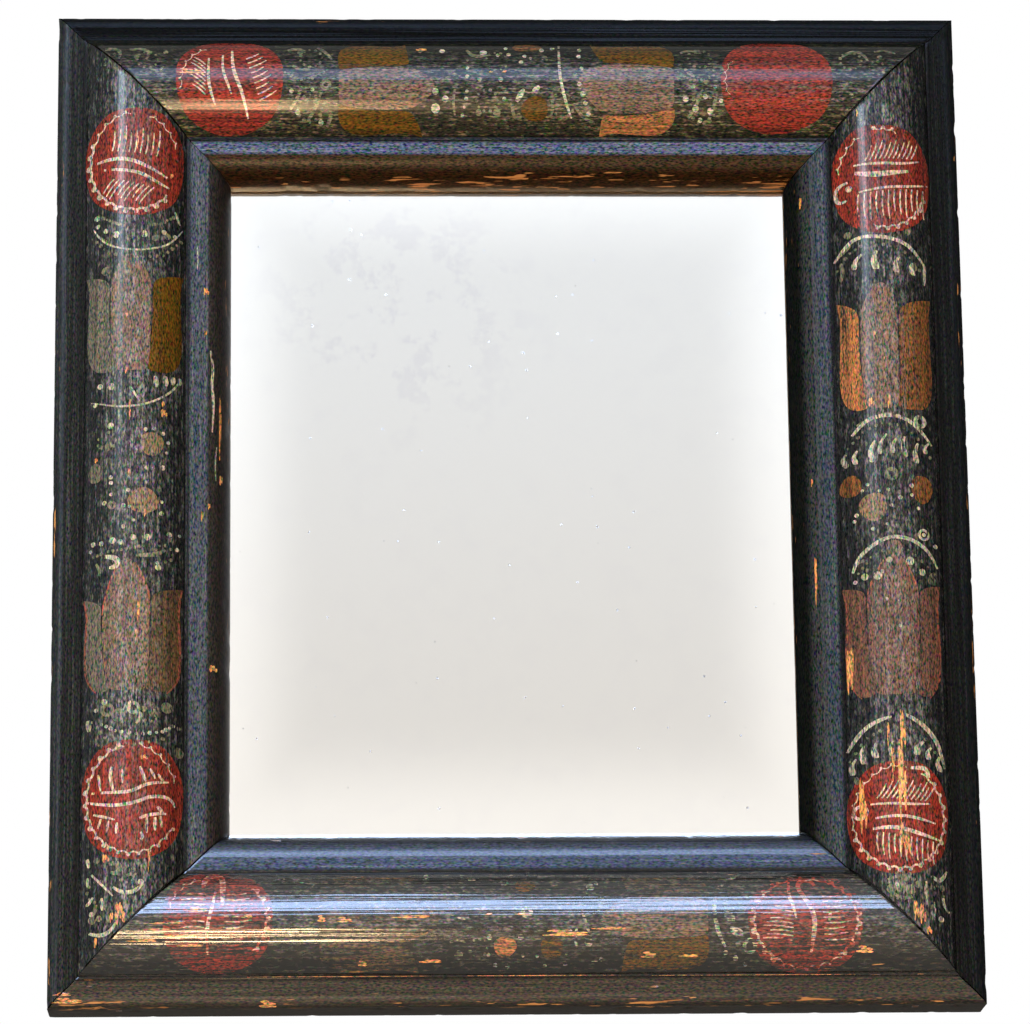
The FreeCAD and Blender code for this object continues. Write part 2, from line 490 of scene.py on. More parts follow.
# lays rubbed chalk and painted sheen on the crown, and painted shade towards the quirks
def addTorusSheenAndShade(grain, side, colour, share=1.0):
    middle = railPlaces[side]["outer"] + railPlaces[side]["sign"] * torusMiddle
    return placeGroup(treeOf(colour), sheenAndShadeGroup, {
        "Across": grain["Across"], "Middle": middle, "Worn": grain["Worn"], "Colour": colour,
        "Crown": torusSheenAndShade["crownShare"][side] * share})["Colour"]


# the torus's ground, lighter and greyer than the band where worn, with painted light: each side and flank is
# lightened or darkened, the top rail's lower flank painted warm and light and its upper flank painted dark
def torusGroundWithPaintedLight(grain, side):
    own = groundOf(side)
    inner = softStep(railInset(grain, side), torusMiddle - own["tintReach"], torusMiddle + own["tintReach"])
    tint = blendColours(inner, own["outerTint"], own["innerTint"])
    ground = blendColours(softStep(grain["Worn"], 0.48, 0.68), own["torusDeep"], own["torusWorn"])
    return vectorMaths("MULTIPLY", ground, tint)[0]


def addGrainBump(shader, grain, grit, bare, side, rough=1.0):
    height = (grain["Grooves"] + grain["Figure"] + grit * 0.05 - 1.0) * rough - bare * 0.6
    addBump(shader, height, 0.5, groundPaint["grooveDepth"][side])


def makeRailFinish(name, label, gloss):
    own = groundOf(name)
    material, tree, shader = newMaterial(label + name, {"Specular IOR Level": gloss})
    grain = boardGrain(tree, railPlaces[name]["upright"])
    places = placesOf(grain)
    inset = railInset(grain, name)
    outerSide = 1.0 - softStep(inset, *own["arrisReach"])
    arris = outerSide * softStep(backY - grain["Depth"], *own["arrisHeight"])
    sight = softStep(inset, *own["sightReach"])
    amount = arris * own["arrisGain"] + sight * own["sightGain"] + own["flecks"]
    bare = placeGroup(tree, fleckGroup, {**places, "Amount": amount})["Bare"]
    thin = softStep(grain["Streaks"], 0.45, 0.75)
    onTorus = softStep(inset, torusStart - 1 * mm, torusStart + 1 * mm)
    onFlat = softStep(inset, torusEnd - 1 * mm, torusEnd + 1 * mm)

    # from the outer band over the torus and the inner flat to the lip
    # the band, painted lighter or darker on each side
    deep, worn = (tinted(own[key], [own["bandGain"]] * 3) for key in ("deep", "worn"))
    brown = grain["Streaks"] * own["brownShare"] * softStep(inset, -2 * mm, 3 * mm)
    paint = blendColours(brown, blendColours(thin, deep, worn), own["bandBrown"])
    paint = blendColours(onTorus, paint, addTorusSheenAndShade(grain, name, torusGroundWithPaintedLight(grain, name)))
    # painted reflection of the window on the inner flat
    flatDeep, flatWorn = (tinted(own[key], own["flatTint"]) for key in ("flatDeep", "flatWorn"))
    flatSheen = blendColours(own["flatShare"], own["deep"], blendColours(thin, flatDeep, flatWorn))
    paint = blendColours(softStep(inset, torusEnd, torusEnd + 2 * mm), paint, flatSheen)
    flatSheenEnd = flatEnd + own["flatReach"]
    # the lip, with its painted reflection and painted shade
    paint = blendColours(softStep(inset, flatSheenEnd - 0.3 * mm, flatSheenEnd + 1.2 * mm), paint, own["lip"])
    paint = blendColours(softStep(inset, flatEnd + 4 * mm, flatEnd + 8 * mm), paint, own["lipDeep"])
    # painted shade: darkened in the quirks beside the torus
    halfQuirk = moulding["quirkWidth"] / 2
    grime = larger(quirkMask(inset, torusStart - halfQuirk), quirkMask(inset, torusEnd + halfQuirk))
    paint = blendColours(grime * own["grimeShare"], paint, own["grime"])
    gritty = placeGroup(tree, gritGroup, {**places, "Colour": paint, "Amount": own["grit"]})

    # bare wood where the paint is gone, and on the back, which was never painted
    wood = blendColours(softStep(grain["Streaks"], 0.35, 0.7), pineColours["fresh"], pineColours["deep"])
    wood = blendColours(sight * 0.6, wood, pineColours["deep"])
    face = blendColours(bare, gritty["Colour"], wood)
    figure = softStep(grain["Figure"], 0.35, 0.65)
    aged = blendColours(figure, pineColours["agedPale"], pineColours["agedDeep"])
    normal = addNode(tree, "ShaderNodeTexCoord")["Normal"]
    behind = softStep(addNode(tree, "ShaderNodeSeparateXYZ", {0: normal})[1], 0.5, 0.7)

    sheen = thin * own["thinRougher"] + own["roughness"] - own["bandRoughness"]
    sheen = sheen * onTorus + own["bandRoughness"]
    dull = larger(larger(bare, behind), outerSide * 1.8)
    dull = larger(dull, softStep(inset, flatEnd, flatEnd + 2 * mm) * own["lipDull"])
    plugAll(shader, {"Base Color": blendColours(behind, face, aged), "Roughness": sheen + dull * 0.35})
    calm = min(1.0, own["flatGroove"] / own["grooveDepth"])
    rough = onTorus * (1.0 - onFlat) * (1.0 - calm) + calm
    addGrainBump(shader, grain, gritty["Grit"], bare, name, rough)
    return material


# lift is in mm above the wood; wear is how much of the colour has rubbed off, bare how much shows the wood,
# haze how much of the torus's rubbed chalk and painted sheen lies on it
def newPaint(lift, body, shade, wear, bare=0.0, haze=1.0):
    return {"lift": lift, "body": body, "shade": shade, "wear": wear, "bare": bare, "haze": haze}


paints = {
    "red": newPaint(0.1, (0.225, 0.029, 0.016), (0.09, 0.012, 0.008), 0.17, 0.02, 0.5),
    "ochre": newPaint(0.1, (0.1, 0.05, 0.0035), (0.052, 0.027, 0.0025), 0.14, 0.0, 0.15),
    "russet": newPaint(0.1, (0.36, 0.15, 0.055), (0.17, 0.075, 0.03), 0.18, 0.02, 0.6),
    "sienna": newPaint(0.1, (0.18, 0.074, 0.021), (0.085, 0.038, 0.014), 0.18, 0.0, 0.6),
    "maroon": newPaint(0.1, (0.135, 0.066, 0.043), (0.072, 0.038, 0.027), 0.17),
    "umber": newPaint(0.1, (0.1, 0.062, 0.028), (0.045, 0.03, 0.017), 0.19),
    "sage": newPaint(0.1, (0.145, 0.133, 0.103), (0.068, 0.063, 0.05), 0.19, 0.02),
    "rose": newPaint(0.1, (0.16, 0.1, 0.066), (0.068, 0.042, 0.028), 0.17, 0.02),
    "sand": newPaint(0.1, (0.21, 0.14, 0.072), (0.11, 0.072, 0.036), 0.14),
    "gold": newPaint(0.16, (0.21, 0.115, 0.03), (0.12, 0.07, 0.022), 0.22),
    "russetLine": newPaint(0.16, (0.26, 0.08, 0.05), (0.15, 0.055, 0.035), 0.24),
    "cream": newPaint(0.2, (0.6, 0.5, 0.41), (0.42, 0.28, 0.21), 0.2),
    "pale": newPaint(0.16, (0.46, 0.45, 0.35), (0.26, 0.27, 0.19), 0.22),
    "olive": newPaint(0.14, (0.17, 0.175, 0.11), (0.1, 0.105, 0.068), 0.25),
    "pine": newPaint(0.24, (0.72, 0.36, 0.13), (0.5, 0.2, 0.06), 0.05),
}


def makePaint(label, side):
    paint, own = paints[label], groundOf(side)
    material, tree, shader = newMaterial(label + " paint on " + side, {"Specular IOR Level": own["gloss"]})
    grain = boardGrain(tree, railPlaces[side]["upright"])
    places = placesOf(grain)
    under = paints["red"]["body"] if label == "cream" else torusGroundWithPaintedLight(grain, side)
    rubbed = placeGroup(tree, wearGroup, {
        **places, "Streaks": grain["Streaks"], "Body": paint["body"], "Shade": paint["shade"], "Under": under,
        "Wear": paint["wear"] + own["rubbed"]})
    bare = placeGroup(tree, fleckGroup, {**places, "Amount": paint["bare"]})["Bare"]
    colour = addTorusSheenAndShade(grain, side, rubbed["Colour"], paint["haze"])
    gritty = placeGroup(tree, gritGroup, {**places, "Colour": colour, "Amount": own["paintGrit"]})
    thin = softStep(grain["Streaks"], 0.45, 0.75)
    plugAll(shader, {
        "Base Color": blendColours(bare, gritty["Colour"], pineColours["fresh"]),
        "Roughness": thin * own["thinRougher"] + own["roughness"] + bare * 0.3})
    addGrainBump(shader, grain, gritty["Grit"], bare, side)
    return material


railFinishes = {}
for name in railNames:
    railFinishes[name] = makeRailFinish(name, "black paint on ", groundPaint["gloss"][name])
print("rail finishes ready")


# the four lengths of moulding

def arcRun(middle, radius, startDegrees, endDegrees, steps):
    run = []
    for step in range(steps + 1):
        turn = math.radians(startDegrees + (endDegrees - startDegrees) * step / steps)
        run.append((middle[0] + radius * math.cos(turn), middle[1] + radius * math.sin(turn)))
    return run


def straightRun(start, end, steps):
    return [between(start, end, step / steps) for step in range(steps)]


def lipRun(start, end, startDegrees, steps):  # a quarter round, cut short at its start
    first = math.radians(startDegrees)
    wide = (end[0] - start[0]) / (1 - math.sin(first))
    tall = (start[1] - end[1]) / math.cos(first)
    run = []
    for step in range(steps + 1):
        turn = first + (math.pi / 2 - first) * step / steps
        run.append((end[0] + wide * (math.sin(turn) - 1), end[1] + tall * math.cos(turn)))
    return run


def mouldingSection():
    m = moulding
    level = m["bandLevel"]
    foot = level + m["quirkRise"]
    sight = flatEnd + m["lipReach"]
    flatLevel = level - m["innerFall"]
    rabbet, rabbetLevel = m["rabbetPlace"], m["rabbetDepth"]
    half = m["torusWidth"] / 2
    radius = (half ** 2 + m["torusRise"] ** 2) / (2 * m["torusRise"])
    reach = math.degrees(math.asin(half / radius))
    crown = (torusMiddle, foot + m["torusRise"] - radius)
    outline = straightRun((0, 0), (0, level - m["edgeRound"]), 12)
    outline += arcRun((m["edgeRound"], level - m["edgeRound"]), m["edgeRound"], 180, 90, 8)
    outline += straightRun((m["edgeRound"] + 1 * mm, level), (m["bandWidth"], level), 6)
    outline += [(m["bandWidth"], level), (m["bandWidth"], foot)]
    outline += arcRun(crown, radius, 90 + reach, 90 - reach, 40)
    outline += [(flatStart, foot), (flatStart, level)]
    outline += straightRun((flatStart + 1 * mm, level), (flatEnd, flatLevel), 4)
    outline += lipRun((flatEnd, flatLevel), (sight, rabbetLevel + 0.3 * mm), m["lipStart"], 16)
    outline += straightRun((sight, rabbetLevel), (rabbet, rabbetLevel), 3)
    outline += straightRun((rabbet, rabbetLevel), (rabbet, 0), 3)
    outline += straightRun((rabbet, 0), (0, 0), 12)
    return outline


def extrudeSection(name, outline, length):
    deselectAll()
    bpy.ops.curve.primitive_bezier_circle_add(radius=length)
    curve = bpy.context.object.data
    curve.splines.clear()
    spline = curve.splines.new("POLY")
    spline.points.add(len(outline) - 1)
    for point, (across, height) in zip(spline.points, outline):
        point.co = (across, height, 0, 1)
    spline.use_cyclic_u = True
    curve.dimensions = "2D"
    curve.fill_mode = "BOTH"
    curve.extrude = length / 2
    bpy.ops.object.convert(target="MESH")
    return named(bpy.context.object, name)


def cutMitres(inward, alongAxis):
    editMesh("VERT")
    bpy.ops.mesh.remove_doubles(threshold=0.001 * mm)
    for end in (-1, 1):
        outward = (alongAxis * end + inward).normalized()
        way = alongAxis * end - inward
        corner = Vector((frameHigh.x if way.x > 0 else frameLow.x, 0,
                         frameHigh.z if way.z > 0 else frameLow.z))
        gap = moulding["jointGap"]["top" if corner.z > frameMid.z else "bottom"]
        bpy.ops.mesh.select_all(action="SELECT")
        place = corner - outward * gap
        bpy.ops.mesh.bisect(plane_co=place, plane_no=outward, use_fill=True, clear_outer=True)
    bpy.ops.mesh.select_all(action="SELECT")
    bpy.ops.mesh.normals_make_consistent(inside=False)
    leaveMesh()


def divideAlong(piece, alongAxis, cuts):
    def runsAlong(edge):
        start, end = (piece.data.vertices[index].co for index in edge.vertices)
        return abs((end - start).dot(alongAxis)) > 0.99 * (end - start).length

    chooseParts(piece, "EDGE", "edges", runsAlong)
    bpy.ops.mesh.subdivide(number_cuts=cuts)
    leaveMesh()


def displace(piece, label, grain, strength, middle, groupName, contrast=1.0, intensity=1.0):
    texture = bpy.data.textures.new(label, "CLOUDS")
    texture.noise_scale = grain
    texture.noise_depth = 2
    texture.contrast = contrast
    texture.intensity = intensity
    texture.use_clamp = True
    modifier = piece.modifiers.new(label, "DISPLACE")
    modifier.texture = texture
    modifier.texture_coords = "LOCAL"
    modifier.strength = strength
    modifier.mid_level = middle
    modifier.vertex_group = groupName
    applyModifier(piece, modifier)


def weighVertices(piece, label, weightOf):
    group = piece.vertex_groups.new(name=label)
    for vertex in piece.data.vertices:
        weight = weightOf(vertex.co)
        if weight > 0.01:
            group.add([vertex.index], min(weight, 1.0), "REPLACE")


def makeRail(name):
    m = moulding
    inward = railPlaces[name]["inward"]
    alongAxis = inward.cross(Vector((0, -1, 0)))
    start = Vector((frameMid.x, backY, frameMid.z))
    start -= inward * abs((frameHigh - frameLow).dot(inward)) / 2
    length = abs((frameHigh - frameLow).dot(alongAxis))
    piece = extrudeSection(name + "_moulding", mouldingSection(), length)
    turn = Matrix((inward, (0, -1, 0), alongAxis)).transposed().to_4x4()
    piece.matrix_world = Matrix.Translation(start) @ turn
    settle(piece)
    cutMitres(inward, alongAxis)
    for cuts in m["cuts"]:
        divideAlong(piece, alongAxis, cuts)

    def insetOf(point):
        return (point - start).dot(inward)

    def arrisWeight(point):
        inset, height = insetOf(point), backY - point.y
        if height > m["chipFront"]:
            outerEdge = max(0.0, 1 - inset / m["chipReach"])
        else:
            outerEdge = 0.5 if height < 1.5 * mm and inset < 1 * mm else 0.0
        sightEdge = max(0.0, (inset - m["sightFrom"]) / m["sightReach"])
        return max(outerEdge * m["outerWear"][name], sightEdge * m["sightWear"][name])

    def planedWeight(point):
        room = m["torusWidth"] / 2 - abs(insetOf(point) - torusMiddle)
        return 0.25 + 0.75 * min(1.0, max(0.0, room / m["planeFade"]))

    def mitreWeight(point):
        endRoom = length / 2 - abs((point - start).dot(alongAxis)) - insetOf(point)
        return (1 - endRoom / m["mitreReach"]) * (m["topMitre"] if point.z > frameMid.z else 1.0)

    weighVertices(piece, "planed", planedWeight)
    weighVertices(piece, "mitre", mitreWeight)
    weighVertices(piece, "arris", arrisWeight)
    displace(piece, name + " hand planing", m["planeGrain"], m["planeWave"], 1.7, "planed")
    displace(piece, name + " chips", m["chipGrain"], m["chipDepth"], 1.0, "arris",
             m["chipContrast"], m["chipLevel"])
    displace(piece, name + " open mitre", m["mitreGrain"], m["mitreWear"], 1.2, "mitre")
    piece.vertex_groups.clear()
    takeUp(piece)
    bpy.ops.object.shade_smooth_by_angle(angle=math.radians(m["smoothAngle"]))
    return piece


def dullBesideTorus(piece, name):  # the band, the inner flat and the lip have lost their varnish
    place, own = railPlaces[name], groundOf(name)
    glossyHalf = moulding["torusWidth"] / 2 + moulding["varnishPast"]
    piece.data.materials.append(makeRailFinish(name, "dull black paint on ", own["dullGloss"]))
    if own["mattLip"]:
        piece.data.materials.append(makeRailFinish(name, "matt black paint on ", 0.0))
    for face in piece.data.polygons:
        inset = face.center.dot(place["inward"]) - place["outer"] * place["sign"]
        face.material_index = int(abs(inset - torusMiddle) > glossyHalf)
        if own["mattLip"] and inset > own["mattFrom"]:
            face.material_index = 2


rails = {}
for name in railNames:
    rails[name] = keepPiece(makeRail(name), railFinishes[name])
    dullBesideTorus(rails[name], name)
    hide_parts(name)
    print("rail made:", name, len(rails[name].data.polygons), "faces")


# painted ornament; its places are in mm from the middle of the frame, x to the right and z up

brush = {
    "ahead": 40 * mm,  # strokes start this far in front and are pressed back on the wood
    "coat": 0.15 * mm,
    "smooth": 4,
    "ringStep": 1.9,
    "smoothAngle": 40,
}

layers = {}


def paintOn(side, paint, strokes=(), fills=()):
    layer = layers.setdefault((side, paint), {"strokes": [], "fills": []})
    layer["strokes"] += strokes
    layer["fills"] += fills


def newStroke(points, halves, closed=False):
    return {"points": points, "halves": halves, "closed": closed}


def pull(half, points, tail=0.45):  # one pull of the brush, thinner at both ends
    if len(points) == 2:
        points = [between(*points, share) for share in (0, 0.3, 0.7, 1)]
    return newStroke(points, [half * 0.6] + [half] * (len(points) - 2) + [half * tail])


def dab(x, z, radius):
    points = [(x + radius * share, z + radius * share * 0.2) for share in (-1, -0.8, 0, 0.8, 1)]
    return newStroke(points, [radius * share for share in (0.1, 0.75, 1.1, 0.75, 0.1)])


def loop(x, z, radius, half):
    return newStroke(arcRun((x, z), radius * 1.1, 0, 315, 7), [half] * 8, True)


def comma(x, z, half, tipX, tipZ):  # a round head and a bent tail
    bend = between((x, z), (tipX, tipZ), 0.55)
    points = [(x, z - half * 0.5), (x, z), (bend[0] - 1.2, bend[1]), (tipX + 0.6, tipZ)]
    return newStroke(points, [half * 0.6, half * 1.15, half * 0.7, half * 0.35])


def beadSizes(points, radius):  # dabs of three sizes in turn
    return [dab(*point, radius * (0.8 + 0.2 * (step % 3))) for step, point in enumerate(points)]


# red roundels; strokes are in shares of the half width and half height
roundels = (
    {"side": "left_stile", "middle": (-151.9, 138), "half": (20, 23),
     "bands": ((0.85, ((-0.76, 0.02), (-0.37, 0.08), (0.15, -0.03), (0.66, -0.27))),
               (0.75, ((-0.62, -0.13), (0.03, -0.17), (0.44, -0.37), (0.7, -0.46)))),
     "combs": (((-0.45, 0.2), (0.45, 0.1), (0.05, 0.38), 5),
               ((-0.4, -0.32), (0.4, -0.48), (-0.24, -0.26), 5)),
     "border": ((95, 150, 0.6), (150, 318, 1.0), (20, 70, 0.4))},
    {"side": "left_stile", "middle": (-151, -124.5), "half": (20, 24),
     "bands": ((0.7, ((-0.79, 0.12), (-0.16, 0.09), (0.07, 0.14), (0.33, 0.27), (0.72, 0.3))),
               (0.7, ((-0.89, -0.02), (-0.49, -0.12), (-0.07, -0.1), (0.16, -0.04), (0.39, 0.05),
                      (0.79, 0.05), (0.84, -0.1))),
               (0.55, ((-0.66, 0.42), (-0.61, 0.14))), (0.95, ((-0.39, 0.53), (-0.46, 0.34), (-0.34, 0.1))),
               (0.5, ((-0.18, 0.48), (-0.18, 0.25))), (0.7, ((0.16, 0.53), (0.28, 0.28))),
               (0.55, ((0.36, 0.5), (0.46, 0.34))), (0.55, ((0.51, 0.42), (0.64, 0.28))),
               (0.9, ((0.16, -0.33), (0.36, -0.24), (0.67, -0.23))), (0.8, ((0.5, -0.12), (0.62, -0.22))),
               (0.6, ((0.3, -0.3), (0.3, -0.57))), (0.75, ((0.46, -0.3), (0.46, -0.52))),
               (0.6, ((0.56, -0.27), (0.59, -0.46))), (0.6, ((-0.75, -0.24), (-0.33, -0.35))),
               (0.5, ((-0.6, -0.32), (-0.66, -0.48))), (0.5, ((-0.45, -0.36), (-0.48, -0.56))),
               (0.6, ((-0.28, -0.4), (-0.3, -0.58))), (0.8, ((0.18, -0.56), (0.26, -0.64), (0.18, -0.68)))),
     "border": ((100, 235, 0.9), (235, 330, 0.65), (20, 80, 0.5))},
    {"side": "top_rail", "middle": (-113.5, 172.4), "half": (21.9, 20),
     "bands": ((0.65, ((-0.39, 0.52), (-0.41, 0.13), (-0.36, -0.23), (-0.27, -0.5))),
               (0.6, ((-0.13, 0.6), (-0.15, 0.25), (-0.03, -0.09), (0.03, -0.28))),
               (0.75, ((0.04, 0.72), (0.04, 0.33), (0.14, -0.01), (0.24, -0.28), (0.34, -0.74)))),
     "combs": (((-0.45, 0.35), (-0.45, -0.3), (-0.22, 0.2), 4), ((0.3, 0.5), (0.55, -0.4), (0.25, 0.15), 5)),
     "border": ((120, 190, 0.4),)},
    {"side": "top_rail", "middle": (109, 172.8), "half": (23, 20),
     "border": ((150, 200, 0.25),)},
    {"side": "right_stile", "middle": (151.4, 131), "half": (20, 23.3),
     "bands": ((0.6, ((-0.58, 0.26), (-0.05, 0.27), (0.47, 0.27), (0.78, 0.37))),
               (1.2, ((-0.56, 0.12), (-0.32, 0.06), (0.12, 0.08), (0.54, 0.15))),
               (0.55, ((-0.49, -0.24), (0.08, -0.16), (0.56, -0.14), (0.96, -0.03))),
               (0.75, ((-0.7, -0.03), (-0.89, -0.05), (-0.95, -0.24), (-0.86, -0.41), (-0.72, -0.35)))),
     "combs": (((-0.35, 0.33), (0.6, 0.38), (0.14, 0.28), 7),
               ((-0.5, -0.28), (0.85, -0.15), (0.0, -0.42), 8)),
     "dabs": ((-0.68, -0.15, 1.3),), "border": ((255, 345, 0.8), (120, 170, 0.45), (70, 100, 0.7))},
    {"side": "right_stile", "middle": (150.3, -133), "half": (19.9, 22.8),
     "bands": ((0.55, ((-0.57, 0.24), (-0.18, 0.24), (0.34, 0.21), (0.61, 0.24))),
               (0.65, ((-0.49, -0.01), (-0.08, 0.03), (0.34, -0.02), (0.71, -0.1))),
               (0.8, ((-0.54, -0.19), (-0.25, -0.17), (0.06, -0.21), (0.47, -0.32), (0.8, -0.39))),
               (0.9, ((0.23, 0.85), (0.42, 0.87), (0.58, 0.84), (0.61, 0.7)))),
     "combs": (((-0.45, 0.34), (0.5, 0.28), (0.2, 0.26), 7),
               ((-0.45, -0.25), (0.65, -0.42), (0.0, -0.36), 7)),
     "loops": ((-0.76, 0.12, 2.4),), "border": ((-60, 60, 0.8), (195, 300, 0.85), (80, 195, 0.45))},
    {"side": "bottom_rail", "middle": (-117.5, -172.4), "half": (21.5, 20),
     "bands": ((1.2, ((-0.25, 0.64), (-0.25, 0.81), (-0.11, 0.92), (0.04, 0.92), (0.1, 0.8), (0.1, 0.52),
                      (0.1, 0.26))),
               (0.75, ((-0.03, 0.56), (-0.08, 0.26), (-0.16, -0.04), (-0.19, -0.37), (-0.17, -0.67)))),
     "combs": (((-0.2, 0.5), (-0.25, -0.5), (-0.4, 0.0), 6), ((0.15, 0.5), (0.1, -0.5), (0.4, 0.02), 6)),
     "border": ((-45, 45, 0.95), (110, 165, 0.6))},
    {"side": "bottom_rail", "middle": (112, -174), "half": (22.7, 19.2),
     "bands": ((0.95, ((0.17, 0.74), (0.13, 0.86), (-0.04, 0.88), (-0.14, 0.74), (-0.04, 0.51), (0.09, 0.27),
                       (0.16, -0.03), (0.12, -0.37), (0.09, -0.63))),
               (0.75, ((-0.27, 0.83), (-0.3, 0.53), (-0.22, 0.34), (-0.17, 0.04))),
               (0.7, ((0.42, 0.19), (0.4, -0.07)))),
     "combs": (((-0.22, 0.25), (-0.22, -0.4), (-0.42, 0.04), 5),
               ((0.28, 0.5), (0.32, -0.5), (0.38, 0.03), 6)),
     "border": ((-50, 60, 0.95), (60, 120, 0.6), (120, 240, 1.0), (240, 310, 0.5))},
)


roundelShape = {
    "corners": 24,
    "squareness": 0.82,  # a round that the bent wood makes squarer
    "borderReach": 0.9,
    "scallop": 6.5,  # degrees
    "scallopDepth": 0.03,
    "combHalf": 0.4,
}


def paintRoundel(roundel):
    shape = roundelShape
    side, middle, half = roundel["side"], roundel["middle"], roundel["half"]

    def at(point):
        return (middle[0] + point[0] * half[0], middle[1] + point[1] * half[1])

    outline = []
    for step in range(shape["corners"]):
        turn = math.tau * step / shape["corners"]
        wobble = 1 + 0.012 * math.sin(3 * turn + middle[0]) + 0.01 * math.sin(7 * turn)
        across, up = (math.copysign(abs(part) ** shape["squareness"], part)
                      for part in (math.cos(turn), math.sin(turn)))
        outline.append(at((across * wobble, up * wobble)))
    paintOn(side, "red", fills=[(outline, middle, round(max(half) / brush["ringStep"]))])
    bands = roundel.get("bands", ())
    strokes = [pull(width * 0.95, [at(point) for point in points]) for width, points in bands]
    for start, end, lean, count in roundel.get("combs", ()):
        count += 4
        for step in range(count):
            base = between(start, end, step / (count - 1))
            reach = 0.95 + 0.3 * (step * 7 % 3) / 2  # uneven lengths
            tip = (base[0] + lean[0] * reach, base[1] + lean[1] * reach)
            bend = between(base, tip, 0.5)
            bend = (bend[0] + lean[1] * 0.1, bend[1] - lean[0] * 0.1)
            strokes.append(pull(shape["combHalf"], [at(base), at(bend), at(tip)]))
    for start, end, width in roundel["border"]:
        count = max(4, round((end - start) / shape["scallop"]))
        points = []
        for step in range(count + 1):
            turn = math.radians(start + (end - start) * step / count)
            depth = shape["scallopDepth"] if step % 2 else -shape["scallopDepth"]
            reach = shape["borderReach"] + depth  # each scallop has a bead on it
            points.append(at((math.cos(turn) * reach, math.sin(turn) * reach)))
        strokes.append(pull(width * 0.45, points, 0.8))
        beads = enumerate(points[1::2])
        strokes += [dab(*point, width * (0.95 + 0.12 * (step % 3))) for step, point in beads]
    strokes += [dab(*at(place[:2]), place[2]) for place in roundel.get("dabs", ())]
    strokes += [loop(*at(place[:2]), place[2], 0.6) for place in roundel.get("loops", ())]
    paintOn(side, "cream", strokes)


# tulips; shares run along the flower to its top and across it; the petals' paints go across it too
tulips = (
    {"side": "left_stile", "middle": (-151.5, 74), "half": (25, 19.8), "grow": (0, 1), "top": -0.14,
     "notches": ((0.55, -0.46), (0.57, 0.33)), "tips": (0.66, 0.69), "petals": ("sage", "rose", "ochre")},
    {"side": "left_stile", "middle": (-151.4, -54.5), "half": (27.5, 19.7), "grow": (0, 1), "top": -0.13,
     "notches": ((0.3, -0.58), (0.46, 0.34)), "tips": (0.42, 0.58), "petals": ("sage", "rose", "umber"),
     "rim": "russetLine"},
    {"side": "right_stile", "middle": (151, 60), "half": (27, 19.4), "grow": (0, 1), "top": -0.1,
     "notches": ((0.55, -0.52), (0.62, 0.22)), "tips": (0.74, 0.78), "petals": ("russet", "rose", "sienna")},
    {"side": "right_stile", "middle": (150.5, -53), "half": (32, 19.4), "grow": (0, 1), "top": 0.04,
     "crest": 0.84, "notches": ((0.36, -0.52), (0.38, 0.5)), "tips": (0.44, 0.46),
     "petals": ("maroon", "maroon", "maroon"), "neck": 0.16, "rim": "russetLine"},
    {"side": "top_rail", "middle": (-50, 171.4), "half": (20, 19.7), "grow": (1, 0), "top": 0.05,
     "notches": ((0.5, -0.35), (0.5, 0.51)), "tips": (0.4, 0.74), "petals": ("ochre", "rose", "ochre")},
    {"side": "top_rail", "middle": (48, 171.4), "half": (20, 19.7), "grow": (-1, 0), "top": 0.1,
     "notches": ((0.5, -0.58), (0.5, 0.42)), "tips": (0.55, 0.72), "petals": ("russet", "rose", "ochre")},
    {"side": "bottom_rail", "middle": (-54.5, -173.2), "half": (23.7, 19.3), "grow": (1, 0), "top": 0.0,
     "notches": ((0.45, -0.45), (0.45, 0.42)), "tips": (0.6, 0.65), "petals": ("umber", "umber", "umber"),
     "rim": "gold"},
    {"side": "bottom_rail", "middle": (53, -173.6), "half": (21.5, 19), "grow": (-1, 0), "top": 0.0,
     "notches": ((0.5, -0.36), (0.45, 0.5)), "tips": (0.6, 0.6), "petals": ("ochre", "rose", "umber")},
)


